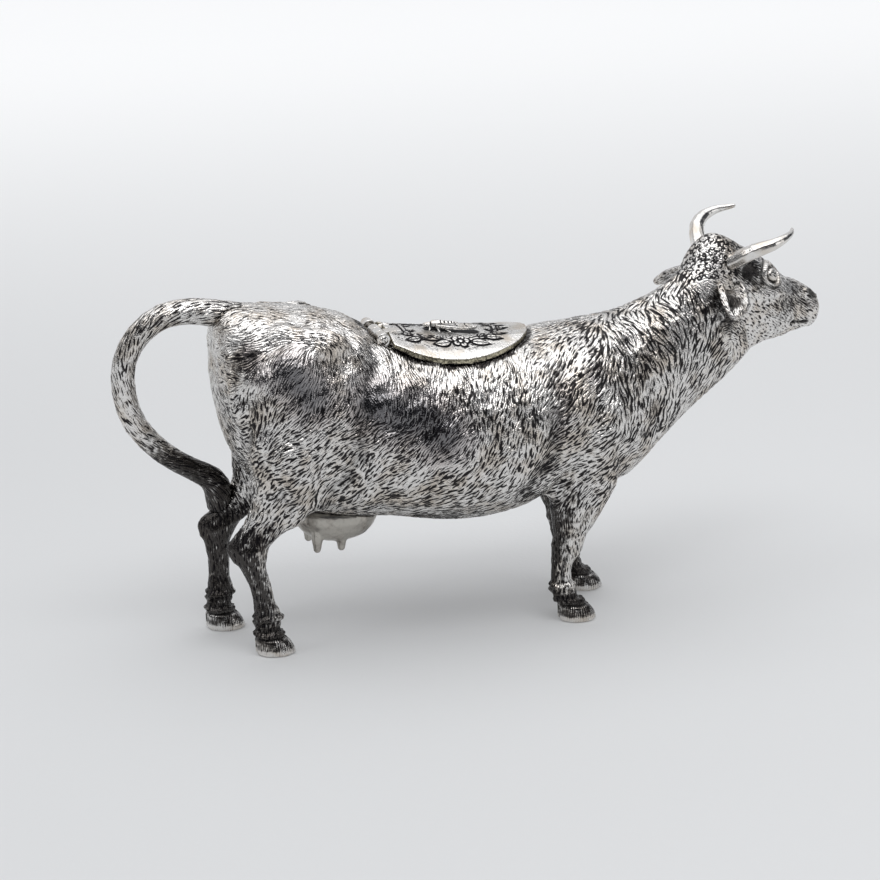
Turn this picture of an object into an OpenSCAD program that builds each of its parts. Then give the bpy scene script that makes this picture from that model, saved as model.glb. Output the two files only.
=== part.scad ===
// Silver cream jug in the form of a standing cow. The hollow body is filled
// through an oval lid in the back, the tail is the handle and the mouth pours.
// +X is toward the head, +Y is the cow's left, +Z is up, and the four hooves
// stand on z = 0 with the origin under the middle of the cow.

/* [Body] */
// Length of the trunk from the rump to the brisket
body_len = 100; // [90:1:112]
// Height of the rump over the table
rump_h = 76; // [70:1:84]
// Width of the barrel at the ribs
barrel_w = 40; // [35:1:45]
// Thickness of the silver sheet
wall = 1.1; // [0.8:0.05:1.4]

/* [Neck and head] */
// Height of the poll, the crown of the head, over the table
poll_h = 83; // [78:1:90]
// Width of the neck where it leaves the shoulders
neck_w = 25; // [21:1:28]
// Length of the head from the poll to the muzzle
head_len = 39.5; // [34:0.5:43]
// Width of the head across the eyes
head_w = 14.4; // [12:0.2:17]
// Turn of the head toward the cow's left
head_yaw = 18; // [8:1:24]
// Tilt of the head toward the cow's right
head_roll = 5; // [0:1:8]
// Bore of the spout at the lips
spout_d = 3; // [2:0.1:4]

/* [Horns and ears] */
// Length of a horn in a straight line from base to tip
horn_len = 14; // [10:0.5:18]
// Diameter of a horn at its base
horn_d = 4; // [3:0.1:5]
// Diameter of a horn at its tip
horn_tip_d = 1.1; // [0.8:0.1:1.6]
// Length of an ear
ear_len = 10.5; // [9:0.5:12]
// Thickness of an ear
ear_t = 2.2; // [1.8:0.1:3]

/* [Legs] */
// Length of the leg that shows below the body
leg_h = 30; // [26:1:34]
// Distance between the left and the right hooves, centre to centre
track_w = 18; // [16:0.5:21]
// Width of the cannon bone, side to side
shank_w = 4.4; // [3.8:0.1:5.4]
// Step of the left front leg ahead of the right one, at the hoof
front_step = 8; // [4:0.5:10]
// Step of the left hind leg behind the right one, at the hoof
hind_step = 7; // [3:0.5:9]

/* [Udder] */
// Length of the udder
udder_len = 19; // [16:0.5:22]
// Width of the udder
udder_w = 15; // [12:0.5:17]
// Depth of the udder from top to bottom
udder_h = 12; // [10:0.5:14]
// Diameter of a teat
teat_d = 2.6; // [2:0.1:3.2]
// Length of a teat below the udder
teat_len = 1.8; // [1:0.1:3]

/* [Tail] */
// Diameter of the tail above its tuft
tail_d = 5; // [4:0.1:6]
// Reach of the tail loop behind the rump
tail_reach = 20.5; // [17:0.5:25]
// Drop of the tail from the rump to the end of its tuft
tail_drop = 50; // [46:1:54]

/* [Lid] */
// Length of the lid from the hinge to its front edge
lid_len = 34; // [30:0.5:37]
// Width of the lid
lid_w = 24; // [20:0.5:26]
// Thickness of the lid
lid_t = 1.1; // [0.8:0.05:1.5]
// Gap between the lid and the back that it rests over
lid_gap = 0.2; // [0.15:0.05:0.3]
// Overhang of the lid past the opening, all round
lid_overhang = 2; // [1.6:0.1:2.8]
// Clearance between the bezel under the lid and the opening
bezel_gap = 0.6; // [0.5:0.05:0.8]
// Thickness of the bezel
bezel_t = 0.8; // [0.6:0.05:1]
// Depth of the bezel under the lid
bezel_h = 2; // [1.6:0.1:2.4]
// Width and depth of the rim that stiffens the opening from inside
rim_t = 1.3; // [1:0.1:1.6]

/* [Hinge] */
// Outer diameter of the knuckles
knuckle_d = 3; // [2.6:0.1:3.4]
// Length of the knuckle row
hinge_len = 14; // [12:0.5:16]
// Diameter of the hinge pin
pin_d = 1.1; // [0.9:0.05:1.3]
// Radial clearance of the pin in the knuckles
pin_gap = 0.05; // [0.03:0.01:0.08]
// Gap between neighbouring knuckles
knuckle_gap = 0.12; // [0.08:0.01:0.2]
// Thickness of the leaves
leaf_t = 0.9; // [0.7:0.05:1.1]
// Gap round the moving knuckles and the lid's rear edge
swing_gap = 0.25; // [0.15:0.05:0.35]

/* [Fly] */
// Length of the fly from its head to its wing tips
fly_len = 11; // [9:0.5:13]
// Height of the fly over the lid
fly_h = 1.9; // [1.6:0.1:2.5]
// Thickness of a wing
wing_t = 0.6; // [0.5:0.05:0.8]

/* [Hidden] */

LEFT = 1;
RIGHT = -1;
silver = "silver";
// Overrun of a cut past the face that it opens
over = 1;
// Side of a block that is larger than the whole cow
block = 2 * (body_len + rump_h);
// Sides of one section of the trunk, the head, a leg and a round cord
trunk_sides = 28;
cavity_sides = 16;
head_sides = 20;
spout_sides = 10;
leg_sides = 12;
tail_sides = 10;
horn_sides = 8;
// Sides of the balls that the muscles, udder, ears and fly are drawn from
muscle_sides = 14;
udder_sides = 20;
small_sides = 8;
ear_sides = 10;
// Sections that are lofted between two rows of a table
fine = 2;

// Sections of the trunk from the rump to the chest:
// top x, top z, bottom x, bottom z, half width, height of the widest point, squareness.
// x is a share of body_len, z of rump_h, half width of barrel_w / 2.
trunk_shares = [
    [-0.476, 0.940, -0.472, 0.740, 0.22, 0.55, 1.00],
    [-0.466, 0.980, -0.456, 0.640, 0.44, 0.54, 0.96],
    [-0.430, 1.000, -0.425, 0.540, 0.66, 0.54, 0.92],
    [-0.360, 0.990, -0.360, 0.440, 0.80, 0.54, 0.90],
    [-0.280, 0.978, -0.280, 0.385, 0.87, 0.52, 0.90],
    [-0.190, 0.950, -0.190, 0.362, 0.93, 0.48, 0.92],
    [-0.110, 0.893, -0.100, 0.353, 0.98, 0.46, 0.94],
    [0.000, 0.869, 0.000, 0.328, 1.00, 0.46, 0.94],
    [0.110, 0.860, 0.100, 0.322, 1.00, 0.46, 0.94],
    [0.210, 0.857, 0.200, 0.345, 0.965, 0.47, 0.95],
    [0.300, 0.868, 0.285, 0.390, 0.88, 0.49, 0.96],
    [0.375, 0.880, 0.375, 0.370, 0.77, 0.52, 0.98],
    [0.435, 0.892, 0.455, 0.393, 0.66, 0.54, 1.00]
];
// Sections of the neck from the chest into the head.
// x is a share of body_len, z of poll_h, half width of neck_w / 2.
neck_shares = [
    [0.490, 0.840, 0.520, 0.430, 0.90, 0.54, 1.02],
    [0.540, 0.868, 0.590, 0.510, 0.76, 0.52, 1.02],
    [0.585, 0.910, 0.655, 0.573, 0.66, 0.50, 1.02],
    [0.625, 0.945, 0.715, 0.630, 0.52, 0.50, 1.00],
    [0.650, 0.960, 0.760, 0.680, 0.30, 0.50, 1.00]
];
// Sections of the head from inside the neck to the muzzle, in the head's own upright plane:
// x from the turning point of the head and z from the poll are shares of head_len,
// half width is a share of head_w / 2.
head_shares = [
    [-0.100, -0.250, 0.130, -0.930, 0.62, 0.50, 1.00],
    [0.000, -0.165, 0.260, -0.860, 0.90, 0.55, 1.00],
    [0.066, -0.055, 0.390, -0.790, 1.00, 0.60, 0.98],
    [0.184, 0.000, 0.500, -0.735, 1.00, 0.62, 0.95],
    [0.342, -0.074, 0.605, -0.710, 1.03, 0.64, 0.95],
    [0.500, -0.153, 0.684, -0.700, 0.97, 0.66, 0.95],
    [0.632, -0.258, 0.750, -0.689, 0.74, 0.60, 0.95],
    [0.763, -0.337, 0.829, -0.679, 0.625, 0.52, 0.92],
    [0.868, -0.384, 0.895, -0.668, 0.68, 0.46, 0.88],
    [0.947, -0.437, 0.947, -0.632, 0.61, 0.45, 0.88],
    [0.987, -0.489, 0.982, -0.574, 0.33, 0.50, 1.00]
];
// Turning point of the head along the body, and where the hollow of the neck ends
head_turn_share = 0.60;
hollow_end_share = 0.63;

// Middle of the right hoof of each pair, along the body
front_hoof_share = 0.323;
hind_hoof_share = -0.368;
// Levels of a leg from the sole up: x of the middle from the hoof, z, half length and
// half width. x and z are shares of leg_h, half length and half width of shank_w / 2.
front_leg_shares = [
    [0.000, 0.000, 2.14, 1.82],
    [-0.013, 0.073, 1.91, 1.64],
    [-0.043, 0.133, 1.59, 1.45],
    [-0.095, 0.173, 1.30, 1.14],
    [-0.115, 0.250, 1.45, 1.27],
    [-0.130, 0.333, 1.05, 0.95],
    [-0.128, 0.433, 1.05, 0.95],
    [-0.095, 0.540, 1.60, 1.32],
    [-0.080, 0.633, 1.65, 1.32],
    [-0.045, 0.733, 2.20, 1.64],
    [-0.015, 0.867, 2.86, 2.09],
    [0.025, 1.033, 3.64, 2.36],
    [0.030, 1.233, 3.86, 2.27],
    [0.020, 1.400, 2.73, 1.82]
];
hind_leg_shares = [
    [0.000, 0.000, 2.14, 1.82],
    [-0.017, 0.073, 1.91, 1.64],
    [-0.047, 0.133, 1.59, 1.45],
    [-0.063, 0.183, 1.32, 1.18],
    [-0.053, 0.283, 1.50, 1.32],
    [-0.083, 0.400, 1.09, 1.00],
    [-0.110, 0.533, 1.14, 1.00],
    [-0.160, 0.667, 1.32, 1.09],
    [-0.190, 0.817, 2.10, 1.32],
    [-0.130, 0.900, 2.40, 1.41],
    [-0.010, 1.000, 2.85, 1.77],
    [0.063, 1.167, 2.95, 2.50],
    [0.110, 1.400, 3.86, 3.18],
    [0.100, 1.667, 4.40, 3.64],
    [0.043, 1.933, 3.80, 3.18]
];

// Muscles on one side, each a swelling drawn between two balls: x, y, z and radius of
// each ball. x is a share of body_len, z of rump_h, y and radius of barrel_w / 2.
muscle_shares = [
    [[0.370, 0.38, 0.79, 0.23], [0.345, 0.63, 0.62, 0.42]],
    [[0.340, 0.63, 0.60, 0.40], [0.310, 0.56, 0.45, 0.28]],
    [[0.300, 0.56, 0.46, 0.26], [0.270, 0.50, 0.41, 0.15]],
    [[-0.330, 0.63, 0.80, 0.46], [-0.330, 0.66, 0.62, 0.50]],
    [[-0.330, 0.66, 0.60, 0.48], [-0.345, 0.56, 0.45, 0.28]],
    [[-0.250, 0.62, 0.89, 0.22], [-0.340, 0.48, 0.90, 0.26]],
    [[-0.240, 0.78, 0.68, 0.28], [-0.280, 0.61, 0.49, 0.26]],
    [[-0.415, 0.40, 0.88, 0.26], [-0.395, 0.50, 0.74, 0.34]]
];
// Thickness of a muscle's ball against its radius
muscle_flat_share = 0.5;

// Where the castings join the body: levels of the legs as shares of leg_h, boxes round
// the legs as shares of body_len (rear and front) and barrel_w / 2 (inner side), and the
// head's plane through a point at shares of body_len and poll_h
front_cut_share = 0.90;
hind_cut_share = 1.10;
front_box_shares = [0.225, 0.43, 0.22];
hind_box_shares = [-0.60, -0.295, 0.10];
head_cut_shares = [0.645, 0.79];
head_cut_tilt = -24;

// Roll centre of the head under the poll
head_roll_share = 0.12;
// The spout from the neck to the lips: x and z in the head's plane and radius,
// x and z as shares of head_len, radius of spout_d / 2
spout_shares = [
    [-0.130, -0.440, 3.6],
    [0.100, -0.420, 3.0],
    [0.360, -0.440, 2.3],
    [0.620, -0.500, 1.5],
    [0.830, -0.560, 1.0],
    [1.050, -0.600, 1.0]
];
// A horn from its root inside the poll to its tip: forward, outward and up from the
// horn's base as shares of horn_len, and radius as a share from horn_d to horn_tip_d
horn_shares = [
    [-0.10, -0.22, -0.16, 0.00],
    [0.00, 0.00, 0.00, 0.06],
    [0.13, 0.23, 0.19, 0.18],
    [0.39, 0.37, 0.30, 0.42],
    [0.65, 0.355, 0.37, 0.70],
    [0.81, 0.29, 0.40, 0.88],
    [0.88, 0.23, 0.43, 1.00]
];
// Base of a horn on the head: x and z in the head's plane as shares of head_len,
// and the distance to the side as a share of head_w / 2
horn_base_shares = [0.223, -0.106, 0.93];
// Root, middle and tip of an ear: forward, outward and up from the root of the ear as
// shares of ear_len, and half the width there as a share of ear_len
ear_shares = [
    [0.05, -0.06, 0.04, 0.26],
    [0.00, 0.20, 0.00, 0.38],
    [-0.12, 0.46, -0.14, 0.38],
    [-0.32, 0.70, -0.36, 0.14]
];
ear_root_shares = [0.177, -0.266, 0.80];
// The hollow of an ear against the ear's own outline, and the tilt of its face to the side
ear_hollow_share = 0.72;
ear_tilt = 38;

// Middle of the udder along the body, and its depth in the belly
udder_place_shares = [-0.208, 0.362];
// Teats: along the udder and to the side as shares of its half length and half width
teat_shares = [[-0.55, 0.52], [0.02, 0.52]];
// Root and tip of a teat: depth below the udder's middle as a share of udder_h, of
// teat_len, and width as a share of teat_d
teat_end_shares = [[0.25, 0, 1], [0.5, 0.5, 0.67]];

// Rear of the rump and the height where the tail leaves it
rump_share = -0.46;
tail_root_share = 0.99;
// The tail from inside the rump to the end of the tuft on the left hind leg:
// reach as a share of tail_reach, drop of tail_drop, side of track_w / 2,
// diameter as a share of tail_d
tail_shares = [
    [-0.23, 0.042, 0.00, 1.30],
    [0.02, 0.018, 0.00, 1.24],
    [0.27, 0.000, 0.00, 1.16],
    [0.57, 0.012, 0.00, 1.12],
    [0.82, 0.086, 0.05, 1.08],
    [0.97, 0.200, 0.13, 1.06],
    [0.98, 0.340, 0.22, 1.06],
    [0.86, 0.498, 0.36, 1.04],
    [0.56, 0.645, 0.55, 1.00],
    [0.24, 0.742, 0.75, 1.00],
    [0.02, 0.805, 0.89, 1.16],
    [-0.065, 0.886, 1.00, 1.28],
    [-0.056, 0.956, 1.02, 1.04],
    [-0.030, 0.994, 1.02, 0.44]
];

// Half length of the lid's oval, whose rear end is cut off at the hinge
lid_oval_share = 0.56;
hinge_shares = [-0.116, 0.887];
knuckle_count = 5;
// Length of the lid's tabs ahead of the knuckles, and of a pin end past the knuckles
tab_len = knuckle_d;
pin_end = pin_d / 3;

// Middle of the fly's thorax along the lid from the hinge
fly_share = 0.40;
// Body of the fly from head to tail: along and up as shares of fly_len and fly_h,
// radius as a share of fly_h
fly_body_shares = [
    [-0.20, 0.45, 0.34],
    [-0.12, 0.45, 0.34],
    [-0.04, 0.48, 0.50],
    [0.06, 0.48, 0.50],
    [0.16, 0.42, 0.42],
    [0.32, 0.36, 0.36],
    [0.44, 0.32, 0.18]
];
// Feet of the fly: along and to the side as shares of fly_len
fly_feet_shares = [[-0.20, 0.20], [0.02, 0.25], [0.24, 0.23]];
// Tilt of the wings, and the wings from the thorax to the tips: along, to the side and
// half width as shares of fly_len
wing_tilt = 12;
fly_wing_shares = [
    [0.02, 0.07, 0.045],
    [0.18, 0.12, 0.075],
    [0.38, 0.17, 0.100],
    [0.60, 0.20, 0.105],
    [0.72, 0.21, 0.070]
];

function row_at(rows, i) = rows[max(0, min(len(rows) - 1, i))];

// A row between the table's rows, on a smooth curve through all of them
function glide(rows, u) =
    let (i = min(floor(u), len(rows) - 2), t = u - i)
    let (a = row_at(rows, i - 1), b = rows[i], c = rows[i + 1], d = row_at(rows, i + 2))
    (2 * b + (c - a) * t + (2 * a - 5 * b + 4 * c - d) * t * t + (3 * b - a - 3 * c + d) * t * t * t) / 2;

function smooth_rows(rows, steps) =
    [for (k = [0 : (len(rows) - 1) * steps]) glide(rows, k / steps)];

function power(x, p) = sign(x) * pow(abs(x), p);

// A closed section between a top and a bottom point in the upright plane
function section(row, grow, sides) =
    let (top = [row[0], 0, row[1]], low = [row[2], 0, row[3]])
    let (up = (top - low) / norm(top - low))
    let (high = top + up * grow, deep = low - up * grow)
    let (mid = deep + (high - deep) * row[5])
    [for (k = [0 : sides - 1])
        let (a = 360 * k / sides, rise = power(sin(a), row[6]), side = power(cos(a), row[6]))
        mid + [0, side * (row[4] + grow), 0] + up * rise * (rise > 0 ? norm(high - mid) : norm(mid - deep))];

// A round section square to the path from one point to the next
function cord_section(before, at, after, radius, sides) =
    let (way = (after - before) / norm(after - before))
    let (flat = cross(way, [0, 1, 0]), n = flat / norm(flat), m = cross(n, way))
    [for (k = [0 : sides - 1])
        let (a = 360 * k / sides)
        at + radius * (n * cos(a) - m * sin(a))];

// Rings along a path, where a row is x, y, z and radius
function cord_rings(rows, sides) =
    [for (i = [0 : len(rows) - 1])
        let (p = row_at(rows, i - 1), q = rows[i], r = row_at(rows, i + 1))
        cord_section([p.x, p.y, p.z], [q.x, q.y, q.z], [r.x, r.y, r.z], q[3], sides)];

// A closed solid through rings of points
module skin(rings) {
    sides = len(rings[0]);
    last = (len(rings) - 1) * sides;
    polyhedron(
        points = [for (ring = rings) each ring],
        faces = [
            [for (k = [0 : sides - 1]) k],
            [for (k = [sides - 1 : -1 : 0]) last + k],
            for (r = [0 : len(rings) - 2], k = [0 : sides - 1])
                each let (a = r * sides + k, b = r * sides + (k + 1) % sides)
                [[a, a + sides, b], [b, a + sides, b + sides]]
        ],
        convexity = 6
    );
}

trunk_rows = [for (s = trunk_shares)
    [s[0] * body_len, s[1] * rump_h, s[2] * body_len, s[3] * rump_h, s[4] * barrel_w / 2, s[5], s[6]]];
neck_rows = [for (s = neck_shares)
    [s[0] * body_len, s[1] * poll_h, s[2] * body_len, s[3] * poll_h, s[4] * neck_w / 2, s[5], s[6]]];
head_rows = [for (s = head_shares)
    [s[0] * head_len, poll_h + s[1] * head_len, s[2] * head_len, poll_h + s[3] * head_len,
        s[4] * head_w / 2, s[5], s[6]]];
body_rows = smooth_rows(concat(trunk_rows, neck_rows), fine);
// The rows that the hollow follows, from 3 walls inside the rump to the narrow neck
hollow_rows = [for (row = body_rows)
    if (row[0] > body_rows[0][0] + 3 * wall && row[0] < hollow_end_share * body_len) row];
rump_x = rump_share * body_len;
head_x = head_turn_share * body_len;

hinge_x = hinge_shares.x * body_len;
hinge_z = hinge_shares.y * rump_h;
knuckle_r = knuckle_d / 2;
knuckle_len = (hinge_len - (knuckle_count - 1) * knuckle_gap) / knuckle_count;
leaf_floor = hinge_z - knuckle_r - swing_gap - leaf_t;
leaf_rear = hinge_x - knuckle_r - leaf_t;
lid_rear = hinge_x + knuckle_r + swing_gap;
lid_front = hinge_x + lid_len;
lid_oval = lid_oval_share * lid_len;
opening_rear = lid_rear + lid_overhang;
fly_x = hinge_x + fly_share * lid_len;

// The cow is moved along so that the origin lies midway between the tail and the muzzle
tail_end_x = rump_x - tail_reach - tail_d / 2;
muzzle_x = head_x + head_len * cos(head_yaw);
middle_x = (tail_end_x + muzzle_x) / 2;

module placed() {
    translate([-middle_x, 0, 0]) children();
}

// The trunk and neck, with the whole surface moved out by grow
module barrel(grow, sides) {
    skin([for (row = body_rows) section(row, grow, sides)]);
}

module in_head_place() {
    roll_z = poll_h - head_roll_share * head_len;
    translate([head_x, 0, roll_z]) rotate([0, 0, head_yaw]) rotate([head_roll, 0, 0])
        translate([0, 0, -roll_z]) children();
}

module head_form() {
    in_head_place() skin([for (row = smooth_rows(head_rows, fine)) section(row, 0, head_sides)]);
}

function leg_ring(row) =
    [for (k = [0 : leg_sides - 1])
        let (a = 360 * k / leg_sides)
        [row[0] + row[3] * cos(a), row[1] + row[4] * sin(a), row[2]]];

// One leg, with its hoof stepped along the body and the step faded out at leg_h
module leg(shares, hoof_x, side, step) {
    skin([for (s = shares)
        leg_ring([hoof_x + s[0] * leg_h + step * max(0, 1 - s[1] * s[1]), side * track_w / 2, s[1] * leg_h,
            s[2] * shank_w / 2, s[3] * shank_w / 2])]);
}

module front_leg_form(side) {
    leg(front_leg_shares, front_hoof_share * body_len, side, side == LEFT ? front_step : 0);
}

module hind_leg_form(side) {
    leg(hind_leg_shares, hind_hoof_share * body_len, side, side == LEFT ? -hind_step : 0);
}

// A ball pressed flat to the side, with its surface moved out by grow
module muscle_ball(place, side, grow) {
    r = place[3] * barrel_w / 2;
    translate([place[0] * body_len, side * place[1] * barrel_w / 2, place[2] * rump_h])
        scale([1, (muscle_flat_share * r + grow) / (r + grow), 1])
            sphere(r + grow, $fn = muscle_sides);
}

module muscles(side, grow) {
    for (pair = muscle_shares) {
        hull() {
            muscle_ball(pair[0], side, grow);
            muscle_ball(pair[1], side, grow);
        }
    }
}

// The body without head and legs, with its surface moved out by grow
module trunk_form(grow, sides) {
    barrel(grow, sides);
    for (side = [LEFT, RIGHT]) {
        muscles(side, grow);
    }
}

// The whole outer form of the cow without horns, ears, udder and tail
module cow_form() {
    trunk_form(0, trunk_sides);
    head_form();
    for (side = [LEFT, RIGHT]) {
        front_leg_form(side);
        hind_leg_form(side);
    }
}

// Everything ahead of the plane where the head joins the neck
module head_block() {
    translate([head_cut_shares[0] * body_len, 0, head_cut_shares[1] * poll_h])
        rotate([0, head_cut_tilt, head_yaw / 2])
            translate([0, -block / 2, -block / 2]) cube(block);
}

module leg_block(shares, cut_share, side, step, grow) {
    x0 = shares[0] * body_len - grow;
    x1 = shares[1] * body_len + step + grow;
    y0 = shares[2] * barrel_w / 2 - grow;
    height = cut_share * leg_h + grow;
    translate([x0, side == LEFT ? y0 : -y0 - barrel_w, -over]) cube([x1 - x0, barrel_w, height + over]);
}

module front_leg_block(side, grow) {
    leg_block(front_box_shares, front_cut_share, side, side == LEFT ? front_step : 0, grow);
}

module hind_leg_block(side, grow) {
    leg_block(hind_box_shares, hind_cut_share, side, 0, grow);
}

// The space inside the sheet, which leaves a thick pad under the hinge
module cavity() {
    difference() {
        skin([for (row = hollow_rows) section(row, -wall, cavity_sides)]);
        for (side = [LEFT, RIGHT]) {
            front_leg_block(side, wall);
            hind_leg_block(side, wall);
        }
        translate([leaf_rear - wall, -hinge_len / 2 - pin_d - wall, leaf_floor - wall])
            cube([opening_rear - rim_t - leaf_rear + wall, hinge_len + 2 * (pin_d + wall), rump_h]);
    }
    in_head_place() skin([for (s = spout_shares)
        let (x = s[0] * head_len, z = poll_h + s[1] * head_len, r = s[2] * spout_d / 2)
        section([x, z + r, x, z - r, r, 0.5, 1], 0, spout_sides)]);
}

// The lid's oval drawn in by inset, with its rear end cut off at rear
module oval_prism(inset, rear) {
    translate([0, 0, hinge_z - barrel_w / 2]) linear_extrude(rump_h) intersection() {
        translate([lid_front - lid_oval, 0])
            scale([lid_oval - inset, lid_w / 2 - inset]) circle(1, $fn = 48);
        translate([rear, -lid_w]) square([lid_len, 2 * lid_w]);
    }
}

module opening_prism() {
    oval_prism(lid_overhang, opening_rear);
}

module hinge_notch() {
    translate([leaf_rear, -hinge_len / 2 - pin_d, leaf_floor])
        cube([lid_rear - leaf_rear, hinge_len + 2 * pin_d, rump_h]);
}

module body_half(side) {
    color(silver) placed() difference() {
        intersection() {
            cow_form();
            translate([-block / 2, side == LEFT ? 0 : -block, -block / 2]) cube(block);
        }
        cavity();
        opening_prism();
        hinge_notch();
        head_block();
        front_leg_block(side, 0);
        hind_leg_block(side, 0);
    }
}

module body_left_half() {
    body_half(LEFT);
}

module body_right_half() {
    body_half(RIGHT);
}

module head() {
    color(silver) placed() difference() {
        intersection() {
            cow_form();
            head_block();
        }
        cavity();
    }
}

function horn_rows(side) =
    [for (s = smooth_rows(horn_shares, fine))
        [horn_base_shares[0] * head_len + s[0] * horn_len,
            side * (horn_base_shares[2] * head_w / 2 + s[1] * horn_len),
            poll_h + horn_base_shares[1] * head_len + s[2] * horn_len,
            (horn_d + (horn_tip_d - horn_d) * s[3]) / 2]];

module horn(side) {
    rows = horn_rows(side);
    color(silver) placed() difference() {
        in_head_place() union() {
            skin(cord_rings(rows, horn_sides));
            translate([rows[len(rows) - 1].x, rows[len(rows) - 1].y, rows[len(rows) - 1].z])
                sphere(horn_tip_d / 2, $fn = 12);
        }
        cow_form();
    }
}

module horn_left() {
    horn(LEFT);
}

module horn_right() {
    horn(RIGHT);
}

// A leaf of an ear, with its outline drawn to size and its face lifted by shift
module ear_leaf(side, size, shift) {
    for (i = [0 : len(ear_shares) - 2]) {
        hull() {
            for (s = [ear_shares[i], ear_shares[i + 1]]) {
                translate([s[0], side * s[1], s[2]] * ear_len)
                    rotate([-side * ear_tilt, 0, 0]) translate([0, 0, shift])
                        scale([s[3] * size * ear_len, s[3] * size * ear_len, ear_t / 2])
                            sphere(1, $fn = ear_sides);
            }
        }
    }
}

module ear(side) {
    color(silver) placed() difference() {
        in_head_place()
            translate([ear_root_shares[0] * head_len, side * ear_root_shares[2] * head_w / 2,
                poll_h + ear_root_shares[1] * head_len])
                difference() {
                    ear_leaf(side, 1, 0);
                    ear_leaf(side, ear_hollow_share, ear_t / 2);
                }
        cow_form();
    }
}

module ear_left() {
    ear(LEFT);
}

module ear_right() {
    ear(RIGHT);
}

module front_leg(side) {
    color(silver) placed() intersection() {
        cow_form();
        front_leg_block(side, 0);
    }
}

module hind_leg(side) {
    color(silver) placed() intersection() {
        cow_form();
        hind_leg_block(side, 0);
    }
}

module front_left_leg() {
    front_leg(LEFT);
}

module front_right_leg() {
    front_leg(RIGHT);
}

module hind_left_leg() {
    hind_leg(LEFT);
}

module hind_right_leg() {
    hind_leg(RIGHT);
}

module udder() {
    color(silver) placed() difference() {
        translate([udder_place_shares[0] * body_len, 0, udder_place_shares[1] * rump_h]) {
            scale([udder_len, udder_w, udder_h] / 2) sphere(1, $fn = udder_sides);
            for (side = [LEFT, RIGHT], s = teat_shares) {
                hull() {
                    for (e = teat_end_shares) {
                        translate([s[0] * udder_len / 2, side * s[1] * udder_w / 2,
                            -e[0] * udder_h - e[1] * teat_len])
                            sphere(e[2] * teat_d / 2, $fn = small_sides);
                    }
                }
            }
        }
        cow_form();
    }
}

module tail_handle() {
    rows = [for (s = smooth_rows(tail_shares, fine))
        [rump_x - s[0] * tail_reach, s[2] * track_w / 2, tail_root_share * rump_h - s[1] * tail_drop,
            s[3] * tail_d / 2]];
    color(silver) placed() difference() {
        skin(cord_rings(rows, tail_sides));
        cow_form();
    }
}

// A rim under the edge of the opening, inside the sheet
module opening_rim() {
    color(silver) placed() difference() {
        intersection() {
            oval_prism(lid_overhang - rim_t, opening_rear - rim_t);
            trunk_form(-wall, cavity_sides);
        }
        trunk_form(-wall - rim_t, cavity_sides);
        opening_prism();
    }
}

module knuckle(i) {
    translate([hinge_x, -hinge_len / 2 + i * (knuckle_len + knuckle_gap), hinge_z])
        rotate([-90, 0, 0]) cylinder(h = knuckle_len, r = knuckle_r, $fn = 48);
}

module hinge_bore(radius, length) {
    translate([hinge_x, -length / 2, hinge_z]) rotate([-90, 0, 0]) cylinder(h = length, r = radius, $fn = 48);
}

// The fixed leaf in the notch of the body, with a web up to every second knuckle
module body_hinge_knuckles() {
    color(silver) placed() difference() {
        union() {
            translate([leaf_rear, -hinge_len / 2, leaf_floor])
                cube([knuckle_d + leaf_t, hinge_len, leaf_t]);
            for (i = [0 : 2 : knuckle_count - 1]) {
                knuckle(i);
                translate([hinge_x - leaf_t, -hinge_len / 2 + i * (knuckle_len + knuckle_gap), leaf_floor])
                    cube([2 * leaf_t, knuckle_len, hinge_z - leaf_floor]);
            }
        }
        hinge_bore(pin_d / 2 + pin_gap, hinge_len + 2 * over);
    }
}

module hinge_pin() {
    color(silver) placed() hinge_bore(pin_d / 2, hinge_len + 2 * pin_end);
}

// The tabs that carry the lid's knuckles, let into the lid from above
module lid_tabs() {
    for (i = [1 : 2 : knuckle_count - 2]) {
        translate([hinge_x, -hinge_len / 2 + i * (knuckle_len + knuckle_gap), hinge_z + lid_gap])
            cube([knuckle_r + swing_gap + tab_len, knuckle_len, leaf_t]);
    }
}

module lid_hinge_knuckles() {
    color(silver) placed() difference() {
        union() {
            lid_tabs();
            for (i = [1 : 2 : knuckle_count - 2]) {
                knuckle(i);
            }
        }
        hinge_bore(pin_d / 2 + pin_gap, hinge_len);
    }
}

module lid() {
    color(silver) placed() difference() {
        intersection() {
            oval_prism(0, lid_rear);
            trunk_form(lid_gap + lid_t, trunk_sides);
        }
        trunk_form(lid_gap, trunk_sides);
        lid_tabs();
    }
}

// A band under the lid that drops into the opening
module lid_bezel() {
    color(silver) placed() difference() {
        intersection() {
            oval_prism(lid_overhang + bezel_gap, opening_rear + bezel_gap);
            trunk_form(lid_gap, trunk_sides);
        }
        trunk_form(lid_gap - bezel_h, trunk_sides);
        oval_prism(lid_overhang + bezel_gap + bezel_t, opening_rear + bezel_gap + bezel_t);
        lid_tabs();
    }
}

// The top of the lid in the middle plane at a distance x along the body
function lid_top(x) = lid_gap + lid_t + lookup(x, [for (row = body_rows) [row[0], row[1]]]);

module fly_body() {
    color(silver) placed() difference() {
        translate([fly_x, 0, lid_top(fly_x)]) {
            for (i = [0 : len(fly_body_shares) - 2]) {
                hull() {
                    for (s = [fly_body_shares[i], fly_body_shares[i + 1]]) {
                        translate([s[0] * fly_len, 0, s[1] * fly_h]) sphere(s[2] * fly_h, $fn = small_sides);
                    }
                }
            }
            for (side = [LEFT, RIGHT], s = fly_feet_shares) {
                hull() {
                    translate([s[0] * fly_len / 2, 0, fly_h / 3]) sphere(wing_t / 2, $fn = 6);
                    translate([s[0] * fly_len, side * s[1] * fly_len, -wing_t]) sphere(wing_t / 2, $fn = 6);
                }
            }
        }
        trunk_form(lid_gap + lid_t, trunk_sides);
        fly_wing_pair();
    }
}

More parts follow.
